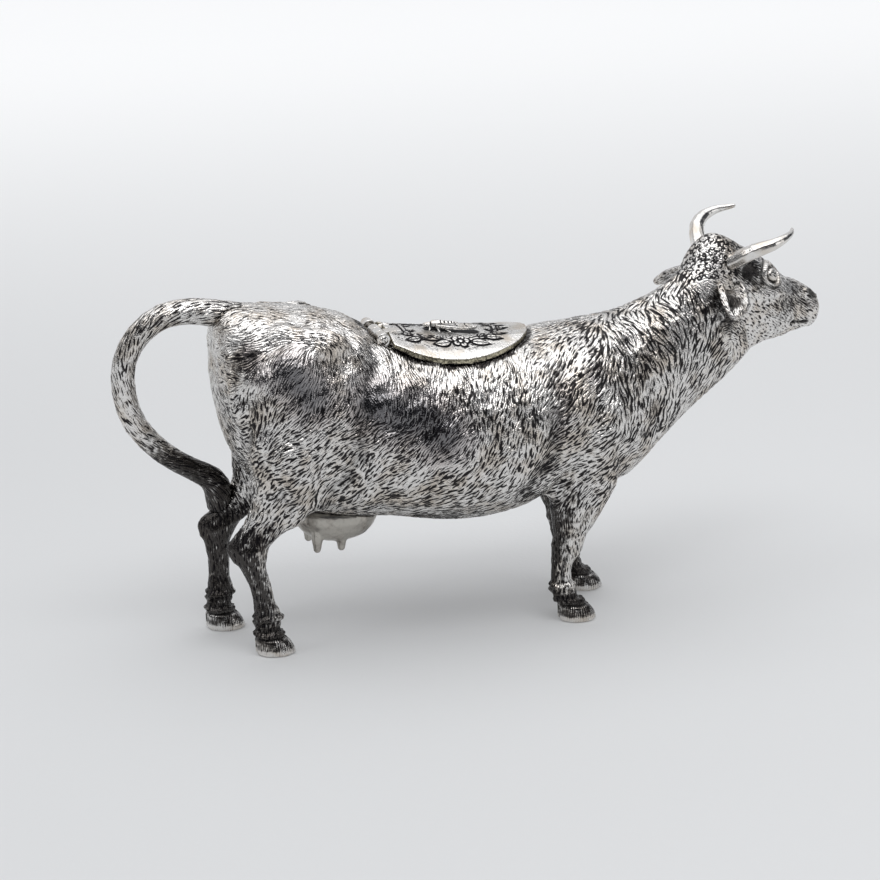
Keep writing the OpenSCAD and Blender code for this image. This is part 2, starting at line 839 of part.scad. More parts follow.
module fly_wing_pair() {
    translate([fly_x, 0, lid_top(fly_x)]) {
        for (side = [LEFT, RIGHT], i = [0 : len(fly_wing_shares) - 2]) {
            hull() {
                for (s = [fly_wing_shares[i], fly_wing_shares[i + 1]]) {
                    translate([s[0] * fly_len, side * s[1] * fly_len, fly_h / 4 * (1 - s[0])])
                        rotate([-side * wing_tilt, 0, 0]) cylinder(h = wing_t, r = s[2] * fly_len, $fn = 16);
                }
            }
        }
    }
}

module fly_wings() {
    color(silver) placed() difference() {
        fly_wing_pair();
        trunk_form(lid_gap + lid_t, trunk_sides);
    }
}

body_left_half();
body_right_half();
head();
horn_left();
horn_right();
ear_left();
ear_right();
front_left_leg();
front_right_leg();
hind_left_leg();
hind_right_leg();
udder();
tail_handle();
opening_rim();
body_hinge_knuckles();
hinge_pin();
lid();
lid_bezel();
lid_hinge_knuckles();
fly_body();
fly_wings();
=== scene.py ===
"""Looks of the silver cow jug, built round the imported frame."""
import math
from itertools import product

import bmesh
import bpy
import numpy as np
from mathutils import Matrix, Vector
from mathutils.kdtree import KDTree


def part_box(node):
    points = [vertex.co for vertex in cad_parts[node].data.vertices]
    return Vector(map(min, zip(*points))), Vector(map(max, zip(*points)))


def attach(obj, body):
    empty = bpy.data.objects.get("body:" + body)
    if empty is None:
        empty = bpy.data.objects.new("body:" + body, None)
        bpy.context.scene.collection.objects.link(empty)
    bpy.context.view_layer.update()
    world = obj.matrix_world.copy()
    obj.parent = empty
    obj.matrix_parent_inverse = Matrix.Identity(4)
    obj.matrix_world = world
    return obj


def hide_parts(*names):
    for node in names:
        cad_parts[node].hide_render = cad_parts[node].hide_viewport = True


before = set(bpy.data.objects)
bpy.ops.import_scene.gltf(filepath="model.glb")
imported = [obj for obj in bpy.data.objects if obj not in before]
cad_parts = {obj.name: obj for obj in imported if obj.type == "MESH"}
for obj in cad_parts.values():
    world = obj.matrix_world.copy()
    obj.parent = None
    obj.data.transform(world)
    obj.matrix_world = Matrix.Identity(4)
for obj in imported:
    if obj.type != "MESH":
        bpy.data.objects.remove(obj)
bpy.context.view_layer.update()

MM = 0.001
SAME_PLACE = 1e-7

# The cow stands with its right side toward the camera, so near pieces are at -y.
NEAR = -1
FAR = 1
SIDES = ((NEAR, "right"), (FAR, "left"))
JUG = "cow_jug"
LID = "hinged_lid"

# Places in millimetres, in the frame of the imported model. The head is joined on along a plane.
NECK_POINT = (50.217, 0.0, 65.57)
NECK_NORMAL = (0.9023, 0.1429, 0.4067)
# The head's own frame is turned about this place.
HEAD_TURN = (45.717, 0.0, 78.26)
HEAD_YAW = math.radians(18)
HEAD_ROLL = math.radians(5)
# Where the legs' castings meet the body: from and to along the cow, how much farther ahead it
# ends on the far side, the least distance from the middle and the height.
FRONT_BLOCK = {"x": (8.217, 28.717), "step": 8.0, "y": 4.4, "top": 27.0}
HIND_BLOCK = {"x": (-74.283, -43.783), "step": 0.0, "y": 2.0, "top": 33.0}
BETWEEN_LEGS = -10
# The opening in the back, with a straight edge at the hinge, and the lid over it.
OPENING_MIDDLE = -10.923
OPENING_HALF = (17.04, 10.0)
OPENING_REAR = -22.133
LID_HALF = (19.04, 12.0)
UNDER_BACK = 50
# Thickness of the drawn sheet, and how far out and down the chased surface may go.
SHEET = 0.95
WIDEST = 20.04
LOWEST = 0.01


# -------- meshes
def mesh_object(name, mesh):
    piece = bpy.data.objects.new(name, mesh)
    bpy.context.scene.collection.objects.link(piece)
    return piece


def dressed(name, mesh, body, slot, node, *finishes):
    """A finished piece that rides on a body and stands for a CAD node."""
    for finish in finishes:
        mesh.materials.append(finish)
    piece = mesh_object(name, mesh)
    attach(piece, body)
    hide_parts(node)


def welded(*nodes):
    """CAD nodes copied into one bmesh, with their loose triangles merged."""
    bm = bmesh.new()
    for node in nodes:
        bm.from_mesh(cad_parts[node].data)
    bmesh.ops.remove_doubles(bm, verts=bm.verts, dist=SAME_PLACE)
    return bm


def to_mesh(bm, name):
    for face in bm.faces:
        face.smooth = True
    mesh = bpy.data.meshes.new(name)
    bm.to_mesh(mesh)
    bm.free()
    return mesh


def from_mesh(mesh, keep=False):
    bm = bmesh.new()
    bm.from_mesh(mesh)
    if not keep:
        bpy.data.meshes.remove(mesh)
    return bm


def modified(mesh, kind, **settings):
    """The mesh with a modifier applied, as a bmesh."""
    carrier = mesh_object("carrier", mesh)
    modifier = carrier.modifiers.new(kind, kind)
    for key, value in settings.items():
        setattr(modifier, key, value)
    graph = bpy.context.evaluated_depsgraph_get()
    result = bpy.data.meshes.new_from_object(carrier.evaluated_get(graph))
    bpy.data.objects.remove(carrier)
    bpy.data.meshes.remove(mesh)
    return from_mesh(result)


def refine(bm, faces):
    """Halves the edges of the faces."""
    edges = list(dict.fromkeys(edge for face in faces for edge in face.edges))
    bmesh.ops.subdivide_edges(bm, edges=edges, cuts=1, use_grid_fill=True)


def soften(bm, verts, rounds):
    for _ in range(rounds):
        bmesh.ops.smooth_vert(bm, verts=verts, factor=0.5, use_axis_x=True, use_axis_y=True,
                              use_axis_z=True)


def outer_skin(bm, voxel, smoothing):
    """One even skin over everything in bm, without what is sealed inside."""
    bm = modified(to_mesh(bm, "skin"), "REMESH", mode="VOXEL", voxel_size=voxel * MM, adaptivity=0.0)
    keep_largest(bm)
    soften(bm, bm.verts, smoothing)
    return bm


def keep_largest(bm):
    """Drops every loose shell but the one with the most vertices."""
    bm.verts.ensure_lookup_table()
    seen = [False] * len(bm.verts)
    shells = []
    for start in bm.verts:
        if seen[start.index]:
            continue
        seen[start.index] = True
        shell = [start]
        for vert in shell:
            for edge in vert.link_edges:
                other = edge.other_vert(vert)
                if not seen[other.index]:
                    seen[other.index] = True
                    shell.append(other)
        shells.append(shell)
    largest = max(shells, key=len)
    for shell in shells:
        if shell is not largest:
            bmesh.ops.delete(bm, geom=shell, context="VERTS")


def triples(rows, field):
    flat = np.empty(len(rows) * 3, np.float32)
    rows.foreach_get(field, flat)
    return flat.reshape(-1, 3).astype(float)


def points_of(mesh):
    return triples(mesh.vertices, "co") / MM


def normals_of(mesh):
    return triples(mesh.vertex_normals, "vector")


def move_points(mesh, points):
    mesh.vertices.foreach_set("co", (points * MM).astype(np.float32).ravel())
    mesh.update()


def push_out(mesh, heights):
    """Moves every point along its normal, by a height in millimetres."""
    move_points(mesh, points_of(mesh) + normals_of(mesh) * heights[:, None])


def paint(mesh, name, values):
    """Stores a number or a vector on every vertex."""
    values = np.asarray(values, np.float32)
    kind, key = ("FLOAT_VECTOR", "vector") if values.ndim == 2 else ("FLOAT", "value")
    layer = mesh.attributes.new(name, kind, "POINT")
    layer.data.foreach_set(key, values.ravel())


def unit(vectors):
    return vectors / np.maximum(np.linalg.norm(vectors, axis=-1, keepdims=True), 1e-9)


def step(values, low, high):
    """0 below low, 1 above high, and smooth between."""
    t = np.clip((values - low) / (high - low), 0, 1)
    return t * t * (3 - 2 * t)


def bell(values, width):
    """1 where the value is 0, and next to nothing past twice the width."""
    return np.exp(-(values / width) ** 2)


def turned(first, second, angle):
    """Two coordinates turned by an angle, from the first toward the second."""
    along, aside = math.cos(angle), math.sin(angle)
    return first * along - second * aside, first * aside + second * along


# -------- modelling of the form
def from_head(forward, side, height):
    """A place in the head's own frame, as millimetres forward, left and over the table."""
    y, z = turned(side, height - HEAD_TURN[2], HEAD_ROLL)
    x, y = turned(forward, y, HEAD_YAW)
    return (x + HEAD_TURN[0], y, z + HEAD_TURN[2])


def into_head(points):
    """Points in the head's own frame."""
    x, y = turned(points[:, 0] - HEAD_TURN[0], points[:, 1], -HEAD_YAW)
    y, z = turned(y, points[:, 2] - HEAD_TURN[2], -HEAD_ROLL)
    return np.stack([x, y, z + HEAD_TURN[2]], 1)


def past_neck(points):
    """How far points are ahead of the joint between neck and head."""
    return (points - np.array(NECK_POINT)) @ np.array(NECK_NORMAL)


def one_side(points):
    """The points with the near half of the cow brought over the far half."""
    return np.stack([points[:, 0], np.abs(points[:, 1]), points[:, 2]], 1)


def lid_share(points):
    """Distance from the middle of the opening as a share of the lid's half size."""
    return np.hypot((points[:, 0] - OPENING_MIDDLE) / LID_HALF[0], points[:, 1] / LID_HALF[1])


def distance_to_path(points, path):
    """Least distance from each point to a line through the path's places."""
    best = np.full(len(points), 1e9)
    for a, b in zip(path[:-1] or path, path[1:] or path):
        a, b = np.array(a, float), np.array(b, float)
        way = b - a
        t = np.clip((points - a) @ way / max(way @ way, 1e-9), 0, 1)
        best = np.minimum(best, np.linalg.norm(points - a - t[:, None] * way, axis=1))
    return best


def near_path(points, path, width):
    return bell(distance_to_path(points, path), width)


# Furrows and ridges of the flank: places, width and height of the ridge in millimetres.
FLANK_LINES = [
    ([(11.5, 13.6, 59.5), (10.7, 16.8, 54.7), (9.5, 18.4, 49.9), (9.4, 18.7, 45), (9, 18.4, 41.8),
      (5.8, 17.8, 36.9), (3.7, 16.2, 33.4)], 2.6, -1),
    ([(9.3, 17.9, 39.6), (16.5, 14, 32.4), (20.2, 13.8, 31.4)], 2, -0.45),
    ([(28.8, 9, 63.1), (31.1, 11.6, 58.2), (33.4, 12, 53.1), (35.8, 10.6, 46.5), (34.5, 9.8, 41.8)],
      2.2, -0.5),
    ([(-29.5, 13, 64), (-31, 15.6, 61.6), (-32.8, 17.6, 57.1), (-33.9, 18.2, 53.4),
      (-34.5, 18.4, 49.6), (-34.8, 18.1, 45.1), (-36.7, 16.7, 40.4), (-40.4, 13.8, 34)], 2.3, -0.9),
    ([(-33.5, 18.2, 53.8), (-27.6, 18.8, 52.6), (-22.1, 19.4, 50.2)], 1.9, -0.4),
    ([(-58.6, 9.8, 70), (-55.7, 11.7, 68.2), (-51.4, 13, 67.6)], 3, -0.9),
    ([(-57.4, 12, 52.4), (-56.7, 14.2, 48.6), (-54.3, 16.1, 44.2), (-51.4, 16.5, 40.5),
      (-49.3, 14.6, 34.3)], 1.8, -0.6),
    ([(-59, 9.6, 67), (-60, 10.3, 62.7), (-60.2, 10.6, 54), (-58.5, 8.5, 46.7)], 1.3, -0.35),
    ([(-55.2, 15, 51), (-53.8, 16.6, 47.5), (-51.3, 17.2, 43.4), (-48.6, 16.5, 38.4)], 1.5, 0.35),
    ([(-31.5, 17.9, 57.5), (-32.6, 18.4, 52.5)], 1.4, 0.55),
    ([(-33.5, 12.4, 67.9), (-37, 13.4, 68.2)], 3.2, 0.5),
    ([(13, 16, 52), (16, 16, 46), (17.5, 15.5, 40)], 3.2, 0.45),
    ([(21, 12.4, 62), (16, 14.2, 58.5)], 2.6, 0.4),
]


def shape_flanks(points):
    """Height of the muscles' ridges and furrows over the plain form."""
    mirrored = one_side(points)
    rise = np.zeros(len(points))
    for path, width, height in FLANK_LINES:
        rise += height * near_path(mirrored, path, width)
    x, y, z = points.T
    swell = (np.sin(0.62 * x + 1.4 * np.sin(0.27 * z + 0.4))
             * np.sin(0.71 * z + 1.1 * np.sin(0.31 * x))
             + 0.7 * np.sin(1.15 * x - 0.6 * z + 0.8 * np.sin(0.4 * x + y))
             * np.sin(0.95 * z + 0.5 * x))
    return (rise + 0.20 * swell * step(z, 30.0, 36.0)) * step(mirrored[:, 1], 3.0, 8.0)


EYE = (20.5, 6.6, 73.3)
EYE_HALF = (2.6, 1.9)
EYE_LEAN = math.radians(28)
MOUTH = [(39.2, 0, 60.3), (38, 2, 60.2), (35.4, 3.6, 59.6), (32.2, 4.3, 59.3), (29.6, 4.4, 59.8)]
# The same on both sides of the head, in its own frame: places, width and height in millimetres.
HEAD_LINES = [
    ([EYE], 3.8, -0.5),
    ([(15.6, 7.2, 75.4), (18, 7.2, 76.3), (20.6, 6.6, 75.7), (22.8, 5.6, 74.2)], 1.15, 0.75),
    ([(12.4, 7, 75.6), (14.6, 7.2, 74.2), (16, 7.2, 72.2)], 2.3, -1.05),
    ([(17, 7.4, 69.2), (21.5, 7.2, 69), (26.5, 5.6, 67.8), (30, 4.4, 66.6)], 1.1, 0.5),
    ([(18, 7.2, 66.9), (23.5, 6.6, 66.4), (28.5, 4.6, 65.4)], 1.3, -0.5),
    ([(11, 8, 70.5), (10.3, 8.4, 65.5), (12.3, 8.4, 60.5), (17, 7.2, 57.4),
      (22, 5, 56.2)], 1.1, -0.55),
    ([(16.5, 7.4, 63)], 3.2, 0.45),
    ([(25, 5.9, 63), (25.4, 5.4, 60)], 1.5, -0.45),
    ([(28, 4.2, 69), (32, 3.6, 67.6)], 0.8, 0.3),
    ([(30.5, 4.3, 66.2), (33, 4, 64.8)], 1.2, -0.5),
    ([(35.2, 3, 66.3), (36.2, 2.7, 65.1)], 0.8, -1.15),
    ([(33.8, 3.4, 66.8), (35.4, 2.9, 67.5), (37.2, 2.2, 66.4), (37.6, 2.5, 64.8)], 0.65, 0.6),
    (MOUTH, 0.5, -0.95),
    ([(f, s, h + 1.05) for f, s, h in MOUTH], 0.75, 0.35),
    ([(f - 0.3, s, h - 1.15) for f, s, h in MOUTH], 0.75, 0.35),
    ([(35.6, 3.5, 62.8)], 1.9, 0.4),
    ([(39, 0, 65.4), (39.6, 0, 62)], 0.4, -0.35),
    ([(31, 3.2, 57.2), (27, 4, 57)], 1.2, -0.3),
    ([(6.5, 0, 82.6), (12, 0, 80.4)], 2.6, 0.35),
]


def eye_oval(points):
    """Distance from the eye's middle in half widths of its oval, on both sides of the head."""
    own = into_head(points)
    level, rise = turned(own[:, 0] - EYE[0], own[:, 2] - EYE[2], EYE_LEAN)
    return np.hypot(level / EYE_HALF[0], rise / EYE_HALF[1]) + 10 * (np.abs(own[:, 1]) < 2.5)


def shape_head(points):
    """Height of the eyes, brows, nostrils and lips over the plain head, and their creases' depth."""
    own = one_side(into_head(points))
    ahead = step(past_neck(points), -1.5, 0.5)
    rise, crease = np.zeros((2, len(points)))
    for path, width, height in HEAD_LINES:
        mark = height * near_path(own, path, width)
        rise += mark
        crease = np.maximum(crease, -mark * (1.0 if width < 0.85 else 0.30))
    oval = eye_oval(points)
    socket, lid, fold = bell(oval - 0.77, 0.14), bell(oval - 1.06, 0.20), bell(oval - 1.42, 0.16)
    ball = np.sqrt(np.clip(1 - (oval / 0.70) ** 2, 0, 1))
    rise += 0.95 * ball + 0.60 * lid - 0.40 * socket - 0.30 * fold
    crease = np.maximum(crease, np.maximum(0.60 * socket, 0.45 * fold))
    return rise * ahead, crease * ahead


# Middle line of a leg: height over the table and place ahead of the hoof's middle.
FRONT_AXIS = ((0, 2.2, 4, 5.2, 7.5, 10, 13, 16.2, 19, 22, 26, 31),
              (0, -0.4, -1.3, -2.85, -3.45, -3.9, -3.84, -2.85, -2.4, -1.35, -0.45, 0.75))
HIND_AXIS = ((0, 2.2, 4, 5.5, 8.5, 12, 16, 20, 24.5, 27, 30, 35),
             (0, -0.5, -1.4, -1.9, -1.6, -2.5, -3.3, -4.8, -5.7, -3.9, -0.3, 1.9))
# Marks on a leg: height from and to, turn from the front in degrees, on both sides of the leg,
# or None for all round, width and height of the ridge.
HOOF_MARKS = [
    (0, 3.7, 0, 0.33, -0.75), (0, 3, 180, 0.4, -0.7), (3.85, 3.85, None, 0.32, -0.34),
    (4.7, 4.7, None, 0.48, 0.42), (5.9, 5.9, None, 0.6, -0.30), (7, 7, 148, 0.75, 0.75),
    (7.5, 7.5, None, 0.42, -0.36), (8.4, 8.4, None, 0.6, 0.40), (9.4, 9.4, None, 0.5, -0.22),
]
FRONT_MARKS = HOOF_MARKS + [
    (9.5, 15, 105, 0.6, -0.40), (9.5, 14.5, 180, 0.7, 0.25), (16.5, 19, 0, 1.3, 0.35),
    (16.2, 18.8, 68, 0.75, -0.45), (18, 18, 180, 0.9, 0.40), (20.5, 26.5, 75, 0.8, -0.45),
    (20.3, 20.3, None, 0.6, -0.20), (22, 27, 115, 1.2, 0.30),
]
HIND_MARKS = HOOF_MARKS + [
    (10, 20.5, 115, 0.7, -0.45), (10, 19, 50, 0.6, 0.25), (22, 25.5, 180, 1, 0.55),
    (22.5, 24, 62, 1.2, 0.35), (25.5, 32, 118, 1.5, -0.60), (26, 33, 40, 1.4, 0.25),
]
# Middles of the near and the far hoof, and their distance from the cow's middle.
HOOF_PLACES = {"front": (18.017, 26.017), "hind": (-51.083, -58.083)}
HOOF_ASIDE = 9.0


def leg_mark(mark, z, turn, around, tuft):
    """Height of one mark on a leg at each point."""
    low, high, angle, width, height = mark
    if angle is not None:
        off_level = np.maximum(np.maximum(low - z, z - high), 0)
        bend = np.abs((turn - math.radians(angle) + math.pi) % (2 * math.pi) - math.pi)
        return height * bell(np.hypot(off_level, bend * around), width)
    if low < 4:
        return height * bell(z - low, width)
    return height * bell(z - low + tuft, width) * (0.8 + 0.35 * np.sin(turn * 15 + 2.5 * z))


def shape_legs(points):
    """Height of the hooves' clefts, fetlocks, knees, hocks and tendons, and their creases' depth."""
    rise, crease = np.zeros((2, len(points)))
    x, y, z = points.T
    side = np.where(y > 0, 1.0, -1.0)
    on_leg = step(-z, -33.0, -30.0)
    for end, axis, marks, here in (("front", FRONT_AXIS, FRONT_MARKS, x > BETWEEN_LEGS),
                                   ("hind", HIND_AXIS, HIND_MARKS, x <= BETWEEN_LEGS)):
        near_x, far_x = HOOF_PLACES[end]
        stride = np.where(y > 0, far_x - near_x, 0.0) * np.clip(1 - (z / 30.0) ** 2, 0, 1)
        ahead = x - near_x - np.interp(z, *axis) - stride
        aside = side * (y - side * HOOF_ASIDE)
        around = np.hypot(ahead, aside)
        turn = np.arctan2(aside, ahead)
        tuft = 0.18 * np.sin(turn * 3 + 1.3) + 0.08 * np.sin(turn * 8 + z)
        for mark in marks:
            for sign in (1,) if mark[2] in (None, 0, 180) else (1, -1):
                height = leg_mark(mark, z, sign * turn, around, tuft) * here * on_leg
                rise += height
                crease = np.maximum(crease, -height * (1.0 if mark[3] < 0.62 else 0.35))
    return rise, crease


# Patches of the flank with a painted dark reflection: places, width and strength.
DARK_REFLECTIONS = [
    ([(-30.5, 17.8, 56.5), (-26, 18.5, 54.5), (-20, 19, 52.5), (-16.5, 19.5, 49.5)], 6.6, 0.95),
    ([(-56.5, 11.6, 68), (-54.4, 14.7, 64.5)], 3, 0.6),
    ([(-49, 16, 65), (-46.8, 16.9, 62.3), (-44, 17, 58.5)], 5.4, 0.85),
    ([(11.5, 15.6, 56), (10.1, 18.3, 46)], 2.6, 0.35), ([(20, 13.5, 57.5)], 3.4, 0.4),
]


def dark_reflection_on(points):
    """Strength of the painted dark reflection, half as strong on the far side."""
    mirrored = one_side(points)
    smoke = np.zeros(len(points))
    for path, width, strength in DARK_REFLECTIONS:
        smoke = np.maximum(smoke, strength * near_path(mirrored, path, width))
    return smoke * np.where(points[:, 1] < 0, 1.0, 0.5)


# Places in the head's own frame with black tarnish and painted shade: forward, side, height, radius,
# strength.
HEAD_SHADE_AND_TARNISH = [
    (13.8, 6.8, 75.2, 3.8, 1.25), (9.5, 7.6, 76, 3.2, 1), (3, 9, 71, 4.4, 1),
    (5.5, 8.8, 66, 4.2, 1.05), (10.5, 8.6, 70.5, 3.6, 1.05), (17, 6.9, 72.6, 1.8, 1),
    (22.5, 6.6, 70.6, 1.6, 0.7), (35.5, 3, 65.6, 1.2, 0.8), (32, 4.3, 59.6, 1.6, 0.5),
    (24, 6.6, 68, 4, 0.55), (12, 8.4, 62, 2.6, 0.5), (30.5, 4, 68.5, 4, 0.60),
    (32.5, 4, 63.5, 3.6, 0.60), (27, 4.5, 65, 9, 0.60),
]
# The same on the trunk: x, distance from the middle, height, radius and strength.
TRUNK_SHADE_AND_TARNISH = [
    (9.4, 18.5, 46, 3.6, 0.65), (7.5, 18, 38.5, 3.8, 0.7), (4, 15, 32, 4.5, 0.7),
    (14, 14, 31.5, 5, 0.65), (-34, 18.3, 50, 3.4, 0.6), (-36.5, 16.5, 40, 3.8, 0.55),
    (-41, 12, 32, 5, 0.6), (11.6, 15.6, 56, 2.8, 0.6), (-57.5, 11.5, 66, 4, 0.85),
    (-56, 13, 51, 3.4, 0.7), (-60, 7, 38, 7, 0.8), (-57.5, 12, 58, 3, 0.55),
    (-52, 15.6, 46, 2.6, 0.6), (24, 6, 33, 6, 0.5), (-30, 14.5, 64, 3, 0.55),
    (-51, 14.8, 37, 2.6, 0.6), (-20, 6, 26, 10, 0.45), (0, 6, 26.5, 8, 0.4), (36, 8, 46, 5, 0.5),
    (29.5, 9.5, 61, 2.8, 0.5), (32, 11.5, 55, 2.6, 0.45), (28, 11, 42, 5, 0.42),
    (18, 14.5, 50, 3.4, 0.36), (-8, 17, 36, 6, 0.36), (-24, 16, 34, 5, 0.36),
]


def shade_and_tarnish_left(points, normals):
    """Share of black tarnish and painted shade in the sheltered places, 0 to 1.2."""
    black = np.zeros(len(points))
    for places, rows in ((one_side(into_head(points)), HEAD_SHADE_AND_TARNISH), (one_side(points), TRUNK_SHADE_AND_TARNISH)):
        for *place, radius, strength in rows:
            black = np.maximum(black, strength * near_path(places, [place], radius))
    x, y, z = points.T
    # Painted shade on the legs: darker on inner and rear faces and on the hind legs, lighter on
    # front faces, and a darker band low on each leg.
    inward = np.clip(-normals[:, 1] * np.where(y > 0, 1.0, -1.0), 0, 1)
    forward, rearward = np.clip(normals[:, 0], 0, 1), np.clip(-normals[:, 0], 0, 1)
    base = (np.where(x < BETWEEN_LEGS, 0.84, 0.40) + np.maximum(0.8 * inward, 0.7 * rearward)
            - 0.40 * forward)
    legs = np.clip(base, 0, 1.1) * step(-z, -34.0, -26.0) * step(z, 2.0, 5.0)
    fetlock = (0.78 * step(z, 0.9, 1.6) + 0.3 * step(z, 3.4, 4.0)) * step(-z, -9.0, -6.0)
    # A painted shadow on the body just outside the lid's edge, where the gap under the lid is.
    share = lid_share(points)
    lid_gap_shadow = 0.95 * step(share, 0.90, 0.97) * step(-share, -1.10, -1.02) * (z > 54)
    return np.clip(np.maximum.reduce([black, legs, fetlock, lid_gap_shadow]), 0, 1.2)


# -------- hair
# Way the hair lies: x, distance from the middle, z, and angle over the horizontal
# as seen on the near side.
LIE = [
    (-18.1, 15.2, 59.2, 90), (-9.3, 15.2, 58.5, 85), (1.8, 15.5, 57.6, 75), (7.1, 13.3, 59.8, 65),
    (-25.1, 16.6, 58.1, 95), (-21.5, 19.2, 50.8, 56), (-15.1, 19.8, 46, 51),
    (-17.3, 19.7, 41.7, 33), (-8.4, 19.8, 40.8, 56), (-3.9, 19.7, 47.1, 90), (2.9, 19.2, 48.5, 80),
    (2.9, 19.4, 41.8, 70), (-3.7, 19.2, 37.9, 38), (-14.7, 18.6, 36.6, 19), (2.4, 14.7, 31.3, 24),
    (-25.9, 19.1, 42.3, 42), (-28.1, 19.1, 49.2, -21), (-31.3, 18.6, 44.9, 56),
    (-29.9, 17.5, 38.8, 47), (-23, 16.3, 34.4, 19), (14.7, 14.4, 58.4, 33), (21, 12.7, 59.6, 56),
    (26.6, 13.2, 55.8, 95), (15.1, 16.7, 53.4, 42), (19.8, 16.3, 50.6, 65), (27.4, 14.6, 47.1, 105),
    (17.7, 16.3, 42.8, 19), (25.8, 13.2, 40, 29), (13, 16.6, 40, 10), (20.8, 14.3, 36.2, 24),
    (18.7, 14.1, 31.7, 56), (33.5, 10, 61.1, 116), (38.2, 10.6, 54.1, 110), (32.1, 7.4, 65.1, 127),
    (43.7, 8.7, 53, 56), (38.9, 9.2, 46.7, 65), (-44.4, 8.1, 72.7, 170), (-37.1, 13, 71.2, 159),
    (-53, 8, 73.3, 5), (-46.8, 16.9, 62.3, 56), (-42.3, 16.1, 62.8, 70), (-36.8, 15.5, 63.2, 95),
    (-33.2, 14.2, 64.7, 110), (-40.5, 17, 58.5, 47), (-47, 17.4, 57, 61), (-36.2, 17.2, 58.2, 116),
    (-49.4, 17.8, 50.8, 19), (-40.8, 18, 52.2, 24), (-36.6, 18.1, 49.7, 29), (-45.2, 18, 46.1, 15),
    (-38.5, 16.9, 42.9, 47), (-47.3, 17.4, 41.7, 38), (-42.3, 14.7, 35.8, 65),
    (-49.1, 15.6, 36.8, 56), (-53.1, 16.3, 59.4, 75), (-56.8, 13.1, 54.4, 80), (-60.6, 8, 62.4, 0),
    (-60.6, 8, 50.4, 0), (-58, 4, 40, 60), (10, 3, 66, 20), (30, 3, 72, 40), (-30, 3, 70, 160),
    (-10, 8, 27, 10), (-24, 8, 28, 10),
]


def on_surface(ways, normals):
    """The ways laid flat on the surface, at unit length."""
    return unit(ways - (ways * normals).sum(1, keepdims=True) * normals)


def same_way(ways, others):
    """The ways, turned round where they point against the others."""
    return ways * np.sign((ways * others).sum(1, keepdims=True) + 1e-6)


# From the poll down to the muzzle.
FACE_WAY = unit(np.array(from_head(30, 0, 60)) - np.array(from_head(8, 0, 76)))


def lie_of_hair(points, normals):
    """Unit direction in which the hair lies at each point, along the surface."""
    places = np.array([row[:3] for row in LIE], float)
    angle = np.radians([row[3] for row in LIE])
    mirrored = one_side(points)
    apart = ((mirrored[:, None, :] - places[None, :, :]) ** 2).sum(2)
    weight = np.exp(-apart / 40.0) + 1e-4 / (1 + apart)
    turn = 0.5 * np.arctan2(weight @ np.sin(2 * angle), weight @ np.cos(2 * angle))
    x, y, z = mirrored.T
    turn += 0.20 * np.sin(0.55 * x + 0.9 * np.sin(0.35 * z)) + 0.14 * np.sin(0.8 * z + 0.5 * x + 2.0)
    side = np.where(points[:, 1] > 0, -1.0, 1.0)
    first = on_surface(np.array((1.0, 0.0, 0.0)), normals)
    way = (np.cos(turn)[:, None] * first
           + (side * np.sin(turn))[:, None] * np.cross(normals, first))
    low = step(-z, -30, -24)[:, None]
    down = same_way(on_surface(np.array((0.0, 0.0, 1.0)), normals), way)
    way = unit(way * (1 - low) + down * low)
    on_face = step(past_neck(points), -3.0, 4.0)[:, None]
    way = unit(way * (1 - on_face) + same_way(FACE_WAY, way) * on_face)
    return on_surface(way, normals)


def along_path(path):
    """A lie of hair that follows a line of places, with a slow twist round it."""
    places = np.array(path, float)
    runs = unit(places[1:] - places[:-1])
    middles = (places[1:] + places[:-1]) / 2

    def lie(points, normals):
        apart = ((points[:, None, :] - middles[None, :, :]) ** 2).sum(2)
        weight = np.exp(-(apart - apart.min(1, keepdims=True)) / 12.0)
        way = on_surface(unit(weight @ runs), normals)
        return unit(way + 0.30 * np.cross(normals, way))

    return lie


def scatter_strokes(points, normals, spacing, rng, want, lie=lie_of_hair):
    """Evenly spread strokes: where each lies, its way and the way across it."""
    ways = lie(points, normals)
    across = np.cross(normals, ways)
    long_gap, wide_gap = spacing
    cells = {}
    chosen = []

    def crowded(index, cell):
        for move in product((-1, 0, 1), repeat=3):
            for other in cells.get((cell[0] + move[0], cell[1] + move[1], cell[2] + move[2]), ()):
                gap = points[other] - points[index]
                along = gap @ ways[index] / long_gap
                aside = gap @ across[index] / wide_gap
                if along * along + aside * aside < 1:
                    return True
        return False

    order = rng.permutation(len(points))
    for index in order[want[order]]:
        cell = tuple(int(part // long_gap) for part in points[index])
        if not crowded(index, cell):
            cells.setdefault(cell, []).append(index)
            chosen.append(index)
    return points[chosen], ways[chosen], across[chosen]


def tree_of(points):
    tree = KDTree(len(points))
    for index, place in enumerate(points):
        tree.insert(place, index)
    tree.balance()
    return tree


def near_points(tree, place, radius):
    """Numbers of the points near a place, and how far they are from it."""
    found = tree.find_range(place, radius)
    return np.array([item[1] for item in found], int), np.array([item[2] for item in found])


def deepen(values, near, added):
    values[near] = np.maximum(values[near], added)


def cut_curls(tree, points, places, rng, grooves, marks):
    """Small open rings of curly hair."""
    for place in places:
        radius = rng.uniform(0.28, 0.46)
        near, apart = near_points(tree, place, radius + 0.6)
        if not len(near):
            continue
        opening = unit(rng.normal(size=3))
        off = np.abs(apart - radius) + 0.5 * (unit(points[near] - place) @ opening > 0.45)
        deepen(grooves, near, 0.14 * bell(off, 0.17))
        deepen(marks, near, np.clip(1 - off / 0.52, 0, 1))


